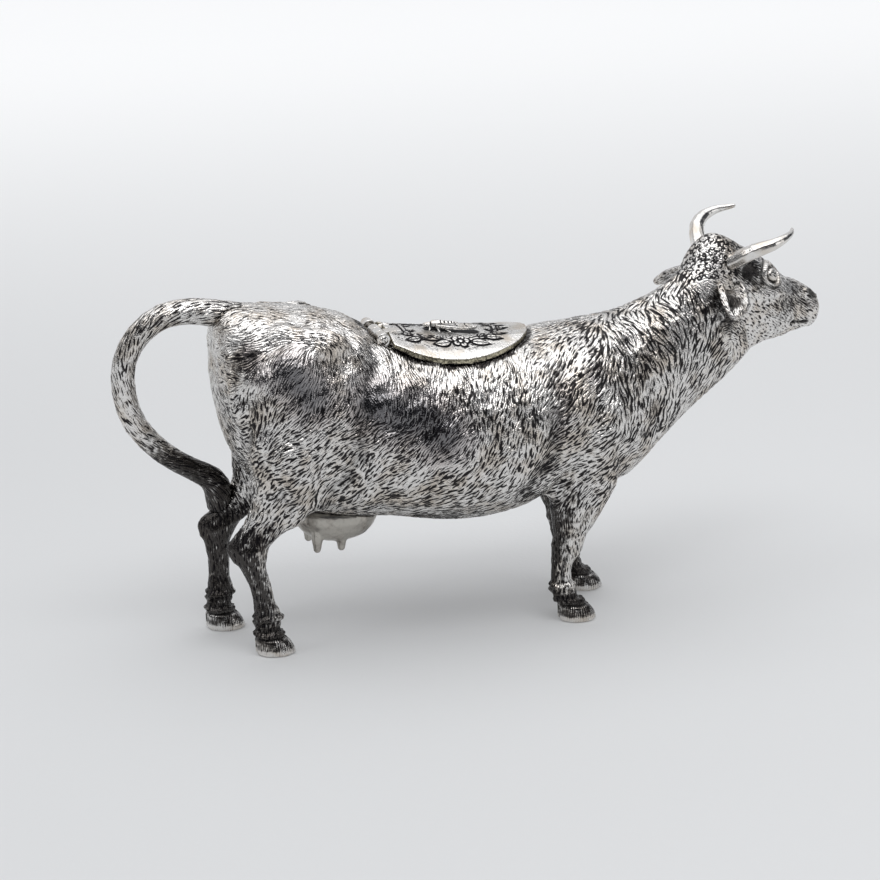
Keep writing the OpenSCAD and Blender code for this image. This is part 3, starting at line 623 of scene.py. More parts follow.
def cut_strokes(tree, points, strokes, length, width, depth, bend, rng, grooves, lips, marks):
    """Adds to each point the groove, the raised lip and the black of the strokes that reach it."""
    for place, way, aside in zip(*strokes):
        reach = length * rng.uniform(0.7, 1.35)
        half = width * rng.uniform(0.8, 1.25)
        deep = depth * rng.uniform(0.5, 1.2)
        way, aside = turned(way, aside, -rng.normal(0, 0.14))
        curve = bend * rng.normal(0.35, 0.8)
        heavy = rng.uniform(-0.16, 0.10)
        near, _ = near_points(tree, place, max(reach * 0.62, half * 3))
        if not len(near):
            continue
        offset = points[near] - place
        along = offset @ way / (reach * 0.5)
        across = (offset @ aside + curve * (along * along - 0.4)) / half
        fade = step(1.15 - np.abs(along), 0, 0.5)
        deepen(grooves, near, deep * bell(across, 1.0) * fade)
        deepen(lips, near, 0.42 * deep * np.exp(-(across - 2.0) ** 2 * 0.9) * fade)
        black = 1 - np.abs(across) / 2.2 - 0.75 * np.abs(along) ** 3 + heavy
        deepen(marks, near, np.clip(black, 0, 1))


# -------- materials
class Socket:
    """A shader value that takes part in Python sums."""

    def __init__(self, finish, link):
        self.finish = finish
        self.link = link

    def sum(self, operation, first, second):
        return self.finish.node("Math", {"operation": operation}, {0: first, 1: second})

    def __add__(self, other):
        return self.sum("ADD", self, other)

    __radd__ = __add__

    def __sub__(self, other):
        return self.sum("SUBTRACT", self, other)

    def __rsub__(self, other):
        return self.sum("SUBTRACT", other, self)

    def __mul__(self, other):
        return self.sum("MULTIPLY", self, other)


class Finish:
    """A node material, or the nodes of the sky."""

    def __init__(self, name, sky=False):
        self.owner = bpy.data.worlds.new(name) if sky else bpy.data.materials.new(name)
        self.owner.use_nodes = True
        self.tree = self.owner.node_tree
        self.tree.nodes.clear()

    def node(self, kind, settings=None, sockets=None, output=0):
        made = self.tree.nodes.new("ShaderNode" + kind)
        for key, value in (settings or {}).items():
            if key == "stops":
                ramp = made.color_ramp
                while len(ramp.elements) < len(value):
                    ramp.elements.new(0.5)
                for element, (place, colour) in zip(ramp.elements, value):
                    element.position = place
                    element.color = (*colour, 1.0)
            else:
                setattr(made, key, value)
        for key, value in (sockets or {}).items():
            if isinstance(value, Socket):
                self.tree.links.new(value.link, made.inputs[key])
            else:
                made.inputs[key].default_value = value
        return Socket(self, made.outputs[output]) if made.outputs else None

    def place(self):
        return self.node("TexCoord", output="Object")

    def part(self, vector, axis):
        return self.node("SeparateXYZ", {}, {"Vector": vector}, output=axis)

    def painted(self, name, output="Fac"):
        return self.node("Attribute", {"attribute_name": name}, output=output)

    def noise(self, scale, detail=3.0):
        return self.node("TexNoise", {}, {"Vector": self.place(), "Scale": scale,
                                          "Detail": detail, "Roughness": 0.55})

    def clamp(self, value, low, high):
        """Value mapped so that low gives 0 and high gives 1, held between them."""
        return self.node("MapRange", {"interpolation_type": "SMOOTHSTEP"},
                         {"Value": value, "From Min": low, "From Max": high})

    def blend(self, factor, first, second):
        return self.node("Mix", {"data_type": "RGBA"},
                         {"Factor": factor, 6: first, 7: second}, output=2)

    def finished(self, bumps, sockets):
        """Ends the material: bumps are pairs of a height in millimetres and a strength."""
        for height, strength in bumps:
            bump = {"Height": height, "Strength": strength, "Distance": MM}
            if "Normal" in sockets:
                bump["Normal"] = sockets["Normal"]
            sockets["Normal"] = self.node("Bump", {}, bump)
        shader = self.node("BsdfPrincipled", {}, sockets)
        self.node("OutputMaterial", {}, {"Surface": shader})
        return self.owner

    def metal(self, colour, roughness, bumps):
        return self.finished(bumps, {"Base Color": colour, "Roughness": roughness, "Metallic": 1.0})


BRIGHT = (0.80, 0.785, 0.765, 1.0)
WARM = (0.66, 0.60, 0.53, 1.0)
# The next two colours are a painted dark reflection and its plum edge.
DARK_REFLECTION_TINT = (0.122, 0.124, 0.134, 1.0)
REFLECTION_EDGE_TINT = (0.46, 0.41, 0.405, 1.0)
BRASS = (0.50, 0.45, 0.29, 1.0)
# Black tarnish mixed with painted shade for sheltered places, then black oxide, which also gives the
# painted shade in creases.
TARNISH_AND_SHADE = (0.036, 0.032, 0.030, 1.0)
OXIDE_AND_SHADE_BLACK = (0.014, 0.013, 0.015, 1.0)


def chased_silver():
    """Bright silver with black left in the chased strokes, black tarnish and painted shade in the
    sheltered places and creases, and painted dark reflections.
    """
    finish = Finish("chased_silver")
    patina, recess, soot, polish, smoke = (
        finish.painted(name) for name in ("patina", "recess", "soot", "polish", "smoke"))
    hairs = finish.node("TexGabor", {"gabor_type": "3D"},
                        {"Vector": finish.place(), "Scale": 820.0, "Frequency": 2.3,
                         "Anisotropy": 1.0, 5: finish.painted("across", "Vector")})
    grain = finish.noise(3000.0, 2.0)
    mottle = finish.noise(800.0)
    cloud = finish.noise(150.0, 4.0)
    rough = 1 - polish
    strokes = finish.clamp(patina + (grain - 0.5) * 0.20 + (mottle - 0.5) * 0.35
                           + (cloud - 0.5) * 0.45, 0.48, 0.66)
    lines = finish.clamp((0.5 - hairs) + (mottle - 0.5) * 0.5 + (cloud - 0.5) * 0.5,
                         0.04, 0.26) * rough
    # Painted shade mixed with black tarnish in the sheltered places.
    sheltered = finish.clamp(soot + (mottle - 0.5) * 1.6 + (0.5 - hairs), 0.26, 0.92)
    # Painted shade mixed with black patina in the creases and furrows.
    creases = finish.clamp(recess + (mottle - 0.5) * 0.5 + (0.5 - hairs) * 0.4, 0.20, 0.75)
    tint = finish.blend(finish.clamp(cloud + mottle * 0.3, 0.55, 0.85), BRIGHT, WARM)
    # Painted dark reflection with a plum edge on its patches.
    reflection_haze = smoke + (mottle - 0.5) * 0.35 + (0.5 - hairs) * 1.3
    tint = finish.blend(finish.clamp(reflection_haze, 0.08, 0.36) * 0.6, tint, REFLECTION_EDGE_TINT)
    tint = finish.blend(finish.clamp(reflection_haze, 0.22, 0.92) * 0.88, tint, DARK_REFLECTION_TINT)
    # The tint darkened by painted shade and black tarnish.
    shaded_and_tarnished_tint = finish.blend(sheltered * 0.96, tint, TARNISH_AND_SHADE)
    black = 1 - (1 - strokes * 0.97) * (1 - lines * 0.55) * (1 - creases * 0.85)
    return finish.metal(finish.blend(black, shaded_and_tarnished_tint, OXIDE_AND_SHADE_BLACK), 0.11 + rough * 0.08 + black * 0.20,
                        [(grain * rough, 0.20), (hairs * rough, 0.30), (cloud, 0.30)])


def plain_silver(name, roughness, tint, tarnish=0.0):
    """Silver without chasing, with a soft tarnish and fine marks of use."""
    finish = Finish(name)
    grain = finish.noise(1500.0)
    cloud = finish.noise(220.0, 4.0)
    colour = finish.blend(finish.clamp(cloud, 0.4, 0.75), tint, WARM)
    if tarnish:
        dirt = finish.clamp(cloud + grain * 0.3, 0.72 - tarnish * 0.2, 0.95) * tarnish
        colour = finish.blend(dirt, colour, OXIDE_AND_SHADE_BLACK)
    return finish.metal(colour, roughness + (cloud - 0.5) * 0.16, [(grain, 0.1)])


def engraved_silver():
    """Silver with black left in the engraved lines and in a stippled ground."""
    finish = Finish("engraved_silver")
    patina, ground, edge = (finish.painted(name) for name in ("patina", "ground", "edge"))
    dots = finish.node("TexVoronoi", {}, {"Vector": finish.place(), "Scale": 1750.0})
    grain = finish.noise(2600.0, 2.0)
    cloud = finish.noise(190.0)
    pits = (1 - finish.clamp(dots + (cloud - 0.5) * 0.9, 0.24, 0.38)) * ground
    lines = finish.clamp(patina + (grain - 0.5) * 0.2, 0.18, 0.40)
    stained = finish.clamp(cloud, 0.45, 0.8) * ground * 0.5
    bare = (1 - lines * 0.98) * (1 - pits * 0.92) * (1 - stained)
    bare = bare * (1 - finish.clamp(grain * 0.5 + cloud * 0.5, 0.45, 0.60) * edge * 0.8)
    tint = finish.blend(finish.clamp(cloud, 0.45, 0.7), BRIGHT, WARM)
    tint = finish.blend(edge * 0.8, tint, BRASS)
    return finish.metal(finish.blend(bare, OXIDE_AND_SHADE_BLACK, tint), 0.27 + (1 - bare) * 0.25,
                        [(grain, 0.2), (1 - pits, 0.25)])


def grey(level):
    return (level, level, level, 1.0)


def paper_with_painted_glow():
    """Pale paper with a painted glow, from emission, that grows lighter to the right and far behind
    the cow.
    """
    finish = Finish("pale_paper_painted_glow")
    along, depth = finish.part(finish.place(), "X"), finish.part(finish.place(), "Y")
    near_glow = finish.blend(finish.clamp(along, -0.25, 0.25), grey(0.10), grey(0.17))
    far_glow = finish.blend(finish.clamp(depth, 0.12, 0.75), near_glow, grey(0.45))
    return finish.finished([(finish.noise(900.0), 0.05)], {
        "Base Color": (0.54, 0.55, 0.56, 1.0), "Roughness": 0.85,
        "Emission Color": far_glow, "Emission Strength": 1.0})


# -------- cutting the skin
def cut_plane(bm, place, normal, geom=None, **cleared):
    """Cuts bm, or only geom, along a plane through a place in millimetres."""
    if geom is None:
        geom = bm.verts[:] + bm.edges[:] + bm.faces[:]
    bmesh.ops.bisect_plane(bm, geom=geom, plane_co=Vector(place) * MM, plane_no=normal,
                           dist=SAME_PLACE, **cleared)


def split_block(bm, block, side, overlap=0.0):
    """Cuts the faces along a leg's block and returns those inside it."""
    x0, x1 = block["x"][0] - overlap, block["x"][1] + overlap
    if side == FAR:
        x1 += block["step"]
    top, inner = block["top"] + overlap, block["y"] - overlap
    reach = 1.5

    def inside(middle, slack):
        x, y, z = (part / MM for part in middle)
        return x0 - slack < x < x1 + slack and side * y > inner - slack and z < top + slack

    for place, normal in (((0, 0, top), Vector((0, 0, 1))), ((x0, 0, 0), Vector((1, 0, 0))),
                          ((x1, 0, 0), Vector((1, 0, 0))),
                          ((0, side * inner, 0), Vector((0, 1, 0)))):
        start = Vector(place) * MM
        faces = []
        for face in bm.faces:
            middle = face.calc_center_median()
            if abs((middle - start).dot(normal)) < reach * MM and inside(middle, reach):
                faces.append(face)
        cut_plane(bm, place, normal, faces
                  + list(dict.fromkeys(edge for face in faces for edge in face.edges))
                  + list(dict.fromkeys(vert for face in faces for vert in face.verts)))
    return [face for face in bm.faces if inside(face.calc_center_median(), 0.0)]


def only(bm, faces):
    """A copy of bm with the given faces alone."""
    bm.faces.index_update()
    wanted = {face.index for face in faces}
    part = bm.copy()
    without(part, [face for face in part.faces if face.index not in wanted])
    return part


def without(bm, faces):
    bmesh.ops.delete(bm, geom=faces, context="FACES")


def half_of(bm, side):
    part = bm.copy()
    cut_plane(part, (0, 0, 0), (0, side, 0), clear_inner=True)
    return part


def cut_neck(bm, keep_head, overlap=0.0):
    place = Vector(NECK_POINT) - overlap * Vector(NECK_NORMAL)
    cut_plane(bm, place, NECK_NORMAL, clear_inner=keep_head, clear_outer=not keep_head)


def cut_across(mesh, x, keep_front):
    """The part of a finished wall ahead of or behind a cross plane, closed where it is cut."""
    bm = from_mesh(mesh, keep=True)
    cut_plane(bm, (x, 0, 0), (1, 0, 0), clear_inner=keep_front, clear_outer=not keep_front)
    close_holes(bm)
    return bm


def open_top(bm):
    """Takes the opening out of the back, with an even edge."""
    def share(point):
        return math.hypot((point.x / MM - OPENING_MIDDLE) / OPENING_HALF[0],
                          point.y / MM / OPENING_HALF[1])

    def within(point):
        return point.z > UNDER_BACK * MM and point.x / MM > OPENING_REAR and share(point) < 1

    without(bm, [face for face in bm.faces if within(face.calc_center_median())])
    for vert in bm.verts:
        point = vert.co
        if (not vert.is_boundary or point.z < UNDER_BACK * MM or share(point) > 1.15
                or point.x / MM < OPENING_REAR - 1.2):
            continue
        if point.x / MM < OPENING_REAR + 0.6 and share(point) < 1.0:
            point.x = OPENING_REAR * MM
        else:
            k = 1 / max(share(point), 1e-6)
            point.x = (OPENING_MIDDLE + (point.x / MM - OPENING_MIDDLE) * k) * MM
            point.y *= k


def tuck_in(bm):
    """Bends the open edge of a piece under the surface of its neighbour."""
    bm.normal_update()
    edge = {vert for vert in bm.verts if vert.is_boundary}
    second = {link.other_vert(vert) for vert in edge for link in vert.link_edges} - edge
    for ring, depth in ((edge, 0.20), (second, 0.11)):
        for vert in ring:
            vert.co -= vert.normal * depth * MM


def close_holes(bm):
    """Caps every open edge, and once more where the first caps left a gap."""
    rim = [vert for vert in bm.verts if vert.is_boundary]
    bmesh.ops.remove_doubles(bm, verts=rim, dist=0.02 * MM)
    for _ in range(2):
        edges = [edge for edge in bm.edges if edge.is_boundary]
        for edge in edges:
            edge.smooth = False
        filled = bmesh.ops.holes_fill(bm, edges=edges, sides=0)
        bmesh.ops.triangulate(bm, faces=[face for face in filled["faces"] if len(face.verts) > 4])
    bmesh.ops.recalc_face_normals(bm, faces=bm.faces)


# -------- the skin
def plug_for_opening(bm):
    """A lowered copy of the lid that closes the opening while the skin is drawn."""
    plug = welded("lid")
    low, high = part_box("lid")
    middle = (low + high) / 2
    bmesh.ops.translate(plug, verts=plug.verts, vec=-middle)
    bmesh.ops.scale(plug, verts=plug.verts, vec=(0.95, 0.95, 1.0))
    bmesh.ops.translate(plug, verts=plug.verts, vec=middle - Vector((0, 0, 1.45)) * MM)
    join(bm, plug)


def join(bm, other):
    """Adds the faces of another bmesh, which is used up."""
    mesh = to_mesh(other, "other")
    bm.from_mesh(mesh)
    bpy.data.meshes.remove(mesh)


def cow_skin(voxel, smoothing):
    bm = welded("body_left_half", "body_right_half", "head", "front_left_leg", "front_right_leg",
                "hind_left_leg", "hind_right_leg")
    plug_for_opening(bm)
    mouth = Matrix.Translation(Vector(from_head(34.5, 0.0, 60.5)) * MM)
    bmesh.ops.create_icosphere(bm, subdivisions=2, radius=2.4 * MM, matrix=mouth)
    return outer_skin(bm, voxel, smoothing)


def sculpt_form(bm):
    mesh = to_mesh(bm, "form")
    push_out(mesh, shape_flanks(points_of(mesh)))
    return from_mesh(mesh)


def chase(mesh, groups, seed, outer=None, firm=1.0, lie=None, curls=None, soot=None):
    """Models the small forms of a mesh, cuts the strokes and paints the black left in them, the
    painted shade and the painted dark reflections.

    Outer is 1 on the outside of a wall and 0 inside, firm is 0 where the surface may not move,
    and a piece with a lie of its own has none of the cow's forms.
    """
    rng = np.random.default_rng(seed)
    points = points_of(mesh)
    nothing = np.zeros(len(points))
    outer = nothing + 1 if outer is None else outer.astype(float)
    cow = lie is None
    rise, crease = nothing, nothing
    if cow:
        head, legs = shape_head(points), shape_legs(points)
        rise, crease = (head[0] + legs[0]) * outer, (head[1] + legs[1]) * outer
    points = points + normals_of(mesh) * rise[:, None]
    move_points(mesh, points)
    normals = normals_of(mesh)
    grooves, lips, marks = np.zeros((3, len(points)))
    tree = tree_of(points)
    low, high = points.min(0) - 2, points.max(0) + 2

    def reached(places):
        return np.all((places > low) & (places < high), axis=1)

    for strokes, *sizes in groups:
        near = reached(strokes[0])
        own = [part[near] for part in strokes]
        cut_strokes(tree, points, own, *sizes, rng, grooves, lips, marks)
    if curls is not None:
        cut_curls(tree, points, curls[reached(curls)], rng, grooves, marks)
    smoke, hoof, furrow, oval = nothing, nothing, nothing, nothing + 9.0
    if cow:
        smoke, oval = dark_reflection_on(points), eye_oval(points)
        hoof = step(-points[:, 2], -4.2, -3.6)
        furrow = shape_flanks(points)
        # Fewer black strokes on the top of the barrel behind the lid, a painted highlight.
        marks = marks * (1 - 0.24 * step(points[:, 2], 55, 63) * step(-points[:, 0], -16, -8))
    kept = outer * (1 - 0.2 * smoke) * (1 - hoof) * step(oval, 1.5, 2.0)
    moved = points + normals * ((lips - grooves) * kept * firm)[:, None]
    moved[:, 1] = np.clip(moved[:, 1], -WIDEST, WIDEST)
    moved[:, 2] = np.maximum(moved[:, 2], LOWEST)
    move_points(mesh, moved)
    # Painted shade mixed with black tarnish, painted shade with patina in the creases, and painted
    # dark reflections.
    black = soot(points) if soot else shade_and_tarnish_left(points, normals)
    paint(mesh, "patina", marks * kept)
    paint(mesh, "recess", np.clip(crease * 1.8, 0, 1) + np.clip(-furrow * 0.6, 0, 0.5))
    paint(mesh, "soot", black * (0.35 + 0.65 * step(oval, 1.2, 1.6)))
    paint(mesh, "smoke", smoke)
    paint(mesh, "polish", np.clip(0.6 * smoke + 0.55 * hoof + 0.6 * step(-oval, -0.8, -0.6), 0, 1))
    paint(mesh, "across", np.cross(normals, (lie or lie_of_hair)(points, normals)))


silver = chased_silver()
inner_silver = plain_silver("inner_silver", 0.38, WARM)
polished = plain_silver("polished_silver", 0.14, BRIGHT)
satin = plain_silver("satin_silver", 0.30, (0.47, 0.45, 0.41, 1.0), tarnish=0.9)
horn_silver = plain_silver("horn_silver", 0.24, BRIGHT)
engraved = engraved_silver()

# Fineness of the skin in millimetres, and rounds of smoothing.
BODY_SKIN = (0.57, 5)
FINE_SKIN = (0.42, 11)

body_skin = sculpt_form(cow_skin(*BODY_SKIN))
guide = to_mesh(body_skin.copy(), "guide")
guide_points, guide_normals = points_of(guide), normals_of(guide)
stroke_rng = np.random.default_rng(7)
on_legs = guide_points[:, 2] < FRONT_BLOCK["top"]
on_head = past_neck(guide_points) > -2
in_head = into_head(guide_points)
on_poll = on_head & (in_head[:, 2] > 75.0) & (in_head[:, 0] < 15.5)
on_neck = ~on_head & (guide_points[:, 0] > 20) & (guide_points[:, 2] > 42)
on_body = ~(on_legs | on_head | on_neck)
in_fine_hair = (on_legs | on_head) & ~on_poll
# Distance between strokes along and across them, then their length, half width, depth and bend.
STROKES = []
for want, spacing, sizes in ((on_body, (1.75, 0.60), (2.4, 0.235, 0.17, 0.26)),
                             (on_neck, (2.3, 0.58), (3.6, 0.23, 0.24, 0.36)),
                             (in_fine_hair, (1.5, 0.60), (1.7, 0.17, 0.09, 0.14))):
    found = scatter_strokes(guide_points, guide_normals, spacing, stroke_rng, want)
    STROKES.append((found, *sizes))
curl_places = scatter_strokes(guide_points, guide_normals, (0.88, 0.88), stroke_rng, on_poll)[0]
bpy.data.meshes.remove(guide)


def is_outside(face):
    return face.material_index == 0


cut_neck(body_skin, keep_head=False)
for side, word in SIDES:
    half = half_of(body_skin, side)
    for block in (FRONT_BLOCK, HIND_BLOCK):
        without(half, split_block(half, block, side))
    open_top(half)
    half_mesh = to_mesh(half, "half")
    for finish in (silver, inner_silver):
        half_mesh.materials.append(finish)
    shell = modified(half_mesh, "SOLIDIFY", thickness=SHEET * MM, offset=-1.0, material_offset=1,
                     material_offset_rim=1)
    refine(shell, [face for face in shell.faces if is_outside(face)])
    for edge in shell.edges:
        edge.smooth = len({face.material_index for face in edge.link_faces}) == 1
    soften(shell, [vert for vert in shell.verts if all(map(is_outside, vert.link_faces))], 1)
    outside = np.array([any(map(is_outside, vert.link_faces)) for vert in shell.verts])
    firm = np.array([all(map(is_outside, vert.link_faces)) for vert in shell.verts])
    shell_mesh = to_mesh(shell, "shell")
    chase(shell_mesh, STROKES, 11 if side == NEAR else 12, outside, firm, curls=curl_places)
    middle = float(np.median(points_of(shell_mesh)[:, 0]))
    for end, keep_front in (("front", True), ("rear", False)):
        name = f"body_{word}_half_{end}_chased"
        part = to_mesh(cut_across(shell_mesh, middle, keep_front), name)
        dressed(name, part, JUG, "textured_silver", f"body_{word}_half", silver, inner_silver)
    bpy.data.meshes.remove(shell_mesh)
body_skin.free()


def casting(bm, node, seed, curls=None):
    """A part cut out of the fine skin, closed under its neighbour's surface and chased."""
    name = node + "_chased"
    refine(bm, bm.faces[:])
    soften(bm, [vert for vert in bm.verts if not vert.is_boundary], 1)
    tuck_in(bm)
    close_holes(bm)
    mesh = to_mesh(bm, name)
    chase(mesh, STROKES, seed, curls=curls)
    dressed(name, mesh, JUG, "textured_silver", node, silver)


fine_skin = sculpt_form(cow_skin(*FINE_SKIN))
head_bm = fine_skin.copy()
cut_neck(head_bm, keep_head=True, overlap=0.5)
casting(head_bm, "head", 13, curl_places)
cut_neck(fine_skin, keep_head=False)
for side, word in SIDES:
    half = half_of(fine_skin, side)
    for end, block in (("front", FRONT_BLOCK), ("hind", HIND_BLOCK)):
        casting(only(half, split_block(half, block, side, 0.5)), f"{end}_{word}_leg", 17)
    half.free()
fine_skin.free()


def smooth_copy(node, voxel, smoothing, finish, body, slot):
    """A CAD node redrawn as an even, rounded mesh."""
    mesh = to_mesh(outer_skin(welded(node), voxel, smoothing), node + "_cast")
    dressed(node + "_cast", mesh, body, slot, node, finish)


def hairy_copy(node, voxel, smoothing, spacing, sizes, lie, seed, soot):
    """A CAD node redrawn as a rounded mesh with its own lie of hair."""
    mesh = to_mesh(outer_skin(welded(node), voxel, smoothing), node + "_chased")
    points = points_of(mesh)
    strokes = scatter_strokes(points, normals_of(mesh), spacing, np.random.default_rng(seed),
                              np.ones(len(points), bool), lie)
    chase(mesh, [(strokes, *sizes)], seed, lie=lie, soot=soot)
    dressed(node + "_chased", mesh, JUG, "textured_silver", node, silver)


TAIL_PATH = [
    (-55.6, 0, 73.1), (-60.7, 0, 74.3), (-65.8, 0, 75.2), (-72, 0, 74.6), (-77.1, 0.5, 70.9),
    (-80.2, 1.2, 65.2), (-80.4, 2, 58.2), (-77.9, 3.2, 50.3), (-71.8, 5, 43), (-65.2, 6.8, 38.1),
    (-60.7, 8, 35), (-59, 9, 30.9), (-59.1, 9.2, 27.4), (-59.7, 9.2, 25.5),
]


# Black tarnish and painted shade, stronger toward the tail's lower end.
def tail_shade_and_tarnish(points):
    return np.clip(0.85 * step(-points[:, 2], -50.0, -38.0) + 0.25, 0, 1)


# Black tarnish and painted shade in the ear's hollow.
def ear_shade_and_tarnish(side):
    hollow = from_head(5.0, side * 10.6, 70.6)
    return lambda points: 1.3 * near_path(points, [hollow], 2.6)


hairy_copy("tail_handle", 0.28, 8, (2.4, 0.62), (3.2, 0.19, 0.11, 0.2), along_path(TAIL_PATH), 5,
           tail_shade_and_tarnish)
for side, word in SIDES:
    smooth_copy("horn_" + word, 0.16, 8, horn_silver, JUG, "polished_silver")
    ear_lie = along_path([from_head(7.0, side * 5.5, 72.9), from_head(6.5, side * 10.0, 71.5),
                          from_head(4.0, side * 13.5, 69.0)])
    hairy_copy("ear_" + word, 0.17, 5, (1.3, 0.5), (1.4, 0.14, 0.08, 0.1), ear_lie, 3,
               ear_shade_and_tarnish(side))


def fuller_udder():
    """The udder, a little slimmer than in the CAD and fuller at the teats."""
    mesh = to_mesh(outer_skin(welded("udder"), 0.3, 4), "udder_cast")
    depth = -points_of(mesh)[:, 2]
    tip = step(depth, -25.0, -20.2)
    push_out(mesh, 0.5 * step(depth, -25.6, -22.4) * (1 - 0.7 * tip) - 0.1)
    dressed("udder_cast", mesh, JUG, "satin_silver", "udder", satin)


fuller_udder()
smooth_copy("opening_rim", 0.25, 3, satin, JUG, "satin_silver")
smooth_copy("lid_bezel", 0.2, 2, satin, LID, "satin_silver")
smooth_copy("body_hinge_knuckles", 0.13, 1, polished, JUG, "polished_silver")
smooth_copy("lid_hinge_knuckles", 0.13, 1, polished, LID, "polished_silver")


def riveted_pin():
    """The hinge pin with a domed and slotted head hammered on each end."""
    bm = welded("hinge_pin")
    low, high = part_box("hinge_pin")
    middle = (low + high) / 2
    reach = (high.y - low.y) / 2
    for side in (NEAR, FAR):
        place = (Matrix.Translation((middle.x, side * (reach - 0.32 * MM), middle.z))
                 @ Matrix.Diagonal((1, 0.42, 1, 1)))
        head = bmesh.new()
        bmesh.ops.create_uvsphere(head, u_segments=32, v_segments=16, radius=0.98 * MM, matrix=place)
        bmesh.ops.bisect_plane(head, geom=head.verts[:] + head.edges[:] + head.faces[:],
                               plane_co=(0, side * (reach - 0.33 * MM), 0),
                               plane_no=(0, side, 0), clear_inner=True)
        close_holes(head)
        join(bm, head)
    mesh = to_mesh(outer_skin(bm, 0.08, 1), "hinge_pin_riveted")
    points = points_of(mesh)
    across = (points[:, 0] - middle.x / MM) * 0.8 + (points[:, 2] - middle.z / MM) * 0.6
    slot = 0.16 * bell(across, 0.13) * (np.abs(points[:, 1]) > reach / MM - 0.30)
    points[:, 1] -= np.sign(points[:, 1]) * slot
    move_points(mesh, points)
    dressed("hinge_pin_riveted", mesh, JUG, "polished_silver", "hinge_pin", polished)


riveted_pin()


# -------- the lid
# The near half of the lid's garland, as places along and across the lid: the far half mirrors it.
FLOWER = (-8.7, -6.7)
# Root, tip and half width of each leaf.
LEAVES = [
    ((-10.9, -6.9), (-14.9, -7.7), 1.05), ((-6.5, -7), (-2.4, -8), 1),
    ((-17.2, -5.7), (-20.6, -6.6), 0.8), ((-15.3, -5.7), (-17.4, -3.6), 0.7),
    ((-12.6, -5.8), (-14.9, -4), 0.65), ((-18.9, -4.5), (-21.6, -3.4), 0.65),
    ((-2.9, -5.6), (0.9, -6.2), 0.75), ((-1, -4), (2.6, -3.9), 0.7),
    ((-4.2, -5.6), (-2.6, -3.6), 0.65), ((-19.6, -2.2), (-17.6, -1.6), 0.55),
    ((0.3, -2.2), (-1.5, -1.2), 0.5), ((0.8, -1.4), (3.6, -0.9), 0.55),
]
STEMS = [
    [(-10.6, -6.3), (-12.9, -5.9), (-15.3, -5.9), (-17.6, -5.4), (-19.1, -4.2), (-19.8, -2.4),
     (-20, 0)],
    [(-6.8, -6.4), (-4.8, -5.9), (-2.6, -5.5), (-0.8, -4.2), (0.4, -2.6), (0.8, 0)],
]
# Line of the painted shadow under the fly's wings, along and across the lid.
FLY_SHADOW_PATH = [(-14, 0), (-10, -0.8), (-4.5, -2.4)]


def flat(points):
    """Places along and across the lid, with the far half brought over the near one."""
    return np.stack([points[:, 0], -np.abs(points[:, 1]), np.zeros(len(points))], 1)


def near_line(places, path, width):
    return near_path(places, [(*place, 0.0) for place in path], width)


def engrave(mesh, height, patina, ground=0.0, edge=0.0):
    """Moves the surface by a height in millimetres and paints what engraved_silver reads."""
    push_out(mesh, height)
    for name, values in (("patina", patina), ("ground", ground), ("edge", edge)):
        paint(mesh, name, values + np.zeros(len(height)))


def leaf_marks(places, root, tip, half_width):
    """Raised leaf and its cut lines."""
    root, tip = np.array([*root, 0.0]), np.array([*tip, 0.0])
    way = tip - root
    length = np.linalg.norm(way)
    way = way / length
    aside = np.array([-way[1], way[0], 0.0])
    along = (places - root) @ way / length
    off = (places - root) @ aside - 0.16 * length * (along * (1 - along))
    edge = half_width * np.sin(np.pi * np.clip(along, 0, 1) ** 0.85)
    within = (along > 0) & (along < 1)
    past_end = np.hypot(off, np.where(along < 0, along, along - 1) * length)
    out = np.where(within, np.abs(off) - edge, past_end)
    vein = bell(off, 0.14) * within * step(along, 0.02, 0.15) * step(1 - along, 0.08, 0.25)
    rib = bell(np.abs(off) - 0.5 * edge, 0.10) * within * (np.sin(along * 22) > 0.3) * 0.6
    return step(-out, -0.10, 0.16), np.maximum.reduce([bell(out - 0.10, 0.23), vein, rib])


def flower_marks(places):
    """Five raised petals round a beaded middle."""
    x, y = places[:, 0] - FLOWER[0], places[:, 1] - FLOWER[1]
    away, turn = np.hypot(x, y), 2.5 * np.arctan2(y, x)
    out = away - 1.15 - 0.85 * np.abs(np.cos(turn)) ** 0.7
    raised = step(-out, -0.10, 0.15) + 0.5 * step(0.45 - away, 0, 0.3)
    parting = bell(np.cos(turn) * away / 2.5, 0.17) * (away < 1.5) * (away > 0.6)
    crease = bell(np.sin(turn) * away / 2.5, 0.1) * (away < 1.45) * (away > 0.9) * 0.7
    lines = [bell(out - 0.10, 0.24), parting, bell(away - 0.70, 0.27), crease]
    return raised, np.maximum.reduce(lines)


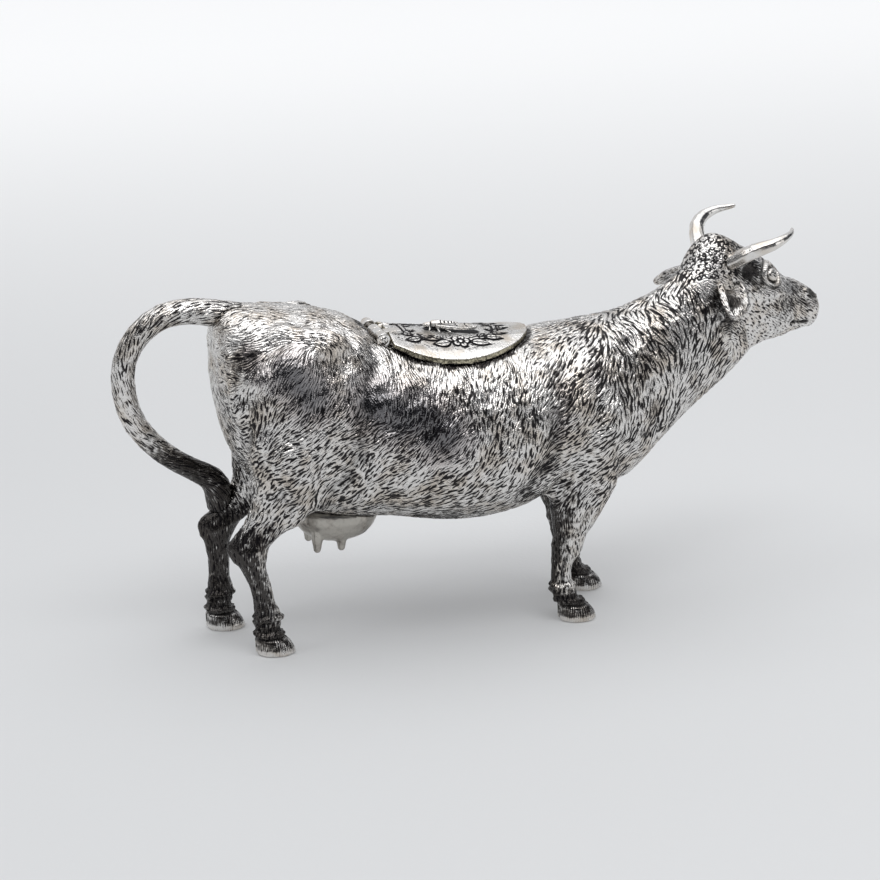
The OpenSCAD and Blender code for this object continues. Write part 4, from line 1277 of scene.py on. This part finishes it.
def engraved_lid():
    bm = outer_skin(welded("lid"), 0.25, 2)
    bm.normal_update()
    refine(bm, [face for face in bm.faces if face.normal.z > 0.35])
    soften(bm, [vert for vert in bm.verts if vert.normal.z > 0.35], 1)
    mesh = to_mesh(bm, "lid_engraved")
    points, normals = points_of(mesh), normals_of(mesh)
    top = step(normals[:, 2], 0.35, 0.6)
    places = flat(points)
    raised, cut = flower_marks(places)
    for leaf in LEAVES:
        rise, lines = leaf_marks(places, *leaf)
        cut = np.where(raised > 0.5, cut, np.maximum(cut, lines))
        raised = np.maximum(raised, rise)
    for path in STEMS:
        away = distance_to_path(places, [(*place, 0.0) for place in path])
        cut = np.maximum(cut, bell(away - 0.55, 0.24) * (raised < 0.5))
        raised = np.maximum(raised, step(0.42 - away, -0.05, 0.1) * 0.9)
    # Painted shadow in black under the fly, where the surface is not cut.
    fly_shadow = 0.8 * near_line(places, FLY_SHADOW_PATH, 1.3)
    cut = np.maximum(cut, fly_shadow)
    field = step(1 - lid_share(points), 0.08, 0.26) * step(points[:, 0], -23.6, -22.4)
    ground = field * (1 - np.clip(raised, 0, 1)) * top
    engrave(mesh, (0.15 * raised - 0.17 * cut * (1 - fly_shadow) - 0.05 * ground) * top, cut * top,
            ground, step(-np.abs(normals[:, 2]), -0.6, -0.35))
    dressed("lid_engraved", mesh, LID, "engraved_silver", "lid", engraved)


engraved_lid()


# -------- the fly
FLY_HEAD = (-14.55, 0.0, 68.0)
FLY_RINGS = (-13.55, -11.25, -10.35, -9.5, -8.75, -8.1)
# Veins of the near wing, along and across the lid.
WING_VEINS = [
    [(-12, -0.85), (-9.5, -1), (-6.5, -1.25), (-4.2, -1.9)],
    [(-12, -0.9), (-9.5, -1.6), (-6.5, -2.2), (-4, -2.4)],
    [(-11.6, -0.95), (-9, -2.1), (-7, -2.9), (-5, -3.1)], [(-8.2, -1.1), (-8.4, -1.8), (-8, -2.4)],
    [(-6.2, -1.3), (-6.3, -2.2), (-6, -2.9)],
]


def cast_fly():
    bm = welded("fly_body")
    for side in (NEAR, FAR):
        eye = Vector((FLY_HEAD[0] - 0.18, side * 0.42, FLY_HEAD[2] + 0.12)) * MM
        bmesh.ops.create_icosphere(bm, subdivisions=3, radius=0.40 * MM,
                                   matrix=Matrix.Translation(eye))
    mesh = to_mesh(outer_skin(bm, 0.09, 3), "fly_body_cast")
    x, y, _ = points_of(mesh).T
    cut = sum(0.11 * bell(x - ring, 0.13) for ring in FLY_RINGS) * (np.abs(y) < 1.1)
    engrave(mesh, -cut, np.clip(cut * 8, 0, 1))
    dressed("fly_body_cast", mesh, LID, "polished_silver", "fly_body", engraved)


def veined_wings():
    mesh = to_mesh(outer_skin(welded("fly_wings"), 0.10, 2), "fly_wings_veined")
    places = flat(points_of(mesh))
    cut = np.maximum.reduce([near_line(places, path, 0.11) for path in WING_VEINS])
    cut = cut * step(normals_of(mesh)[:, 2], 0.3, 0.6)
    engrave(mesh, -0.07 * cut, 0.75 * cut)
    dressed("fly_wings_veined", mesh, LID, "polished_silver", "fly_wings", engraved)


cast_fly()
veined_wings()


# -------- stage, light and camera
LIT_PLACE = (0, 0, 0.05)
# Width of the camera's sensor in millimetres, then the focal length and the width of the photo
# in its pixels. Places and distances of the stage are in metres.
SENSOR = 36.0
FOCAL_LENGTH = 2790
PHOTO_WIDTH = 880
PHOTO_MIDDLE = (-0.014283, -0.00983, 0.045)
CAMERA_DISTANCE = 0.6
# Height over the horizon, as its sine, and the light that comes from there.
SKY_STOPS = [(0.0, (0.14, 0.14, 0.14)), (0.04, (0.02, 0.021, 0.026)), (0.58, (0.035, 0.037, 0.046)),
             (0.68, (0.40, 0.40, 0.41)), (0.78, (1.4, 1.4, 1.41)), (1.0, (1.6, 1.6, 1.61))]


def stage_floor():
    bm = bmesh.new()
    bmesh.ops.create_grid(bm, x_segments=4, y_segments=4, size=4.0)
    floor = mesh_object("floor", to_mesh(bm, "floor"))
    floor.data.materials.append(paper_with_painted_glow())


def sky():
    """A studio that is bright overhead, dark on the camera's side and white behind the cow."""
    finish = Finish("studio", sky=True)
    way = finish.node("TexCoord", output="Generated")
    height, behind = finish.part(way, "Z"), finish.part(way, "Y")
    glow = finish.node("ValToRGB", {"stops": SKY_STOPS}, {"Fac": height})
    backdrop = finish.clamp(behind, 0.25, 0.6) * (1 - finish.clamp(height, 0.5, 0.7))
    glow = finish.blend(backdrop, glow, (0.72, 0.73, 0.75, 1.0))
    light = finish.node("Background", {}, {"Color": glow, "Strength": 1.0})
    finish.node("OutputWorld", {}, {"Surface": light})
    bpy.context.scene.world = finish.owner


def placed(name, data, place, way):
    """A lamp or a camera that looks along a way."""
    holder = bpy.data.objects.new(name, data)
    bpy.context.scene.collection.objects.link(holder)
    holder.location = place
    holder.rotation_euler = way.to_track_quat("-Z", "Y").to_euler()
    return holder


def soft_light(name, place, size, power):
    lamp = bpy.data.lights.new(name, "AREA")
    lamp.shape = "RECTANGLE"
    lamp.size, lamp.size_y = size
    lamp.energy = power
    placed(name, lamp, place, Vector(LIT_PLACE) - Vector(place))


def photo_camera():
    lens = bpy.data.cameras.new("camera")
    lens.sensor_width = SENSOR
    lens.lens = SENSOR * FOCAL_LENGTH / PHOTO_WIDTH
    lens.clip_start = 0.01
    azimuth, elevation = math.radians(-17), math.radians(18)
    back = Vector((math.sin(azimuth) * math.cos(elevation),
                   -math.cos(azimuth) * math.cos(elevation), math.sin(elevation)))
    place = Vector(PHOTO_MIDDLE) + back * CAMERA_DISTANCE
    bpy.context.scene.camera = placed("camera", lens, place, -back)


stage_floor()
sky()
soft_light("overhead", (0.0, -0.35, 0.75), (0.5, 0.25), 1.2)
soft_light("left_fill", (-0.75, -0.1, 0.55), (0.3, 0.4), 0.8)
soft_light("right_fill", (0.60, -0.45, 0.22), (0.35, 0.22), 0.35)
photo_camera()
bpy.context.scene.view_settings.view_transform = "Standard"
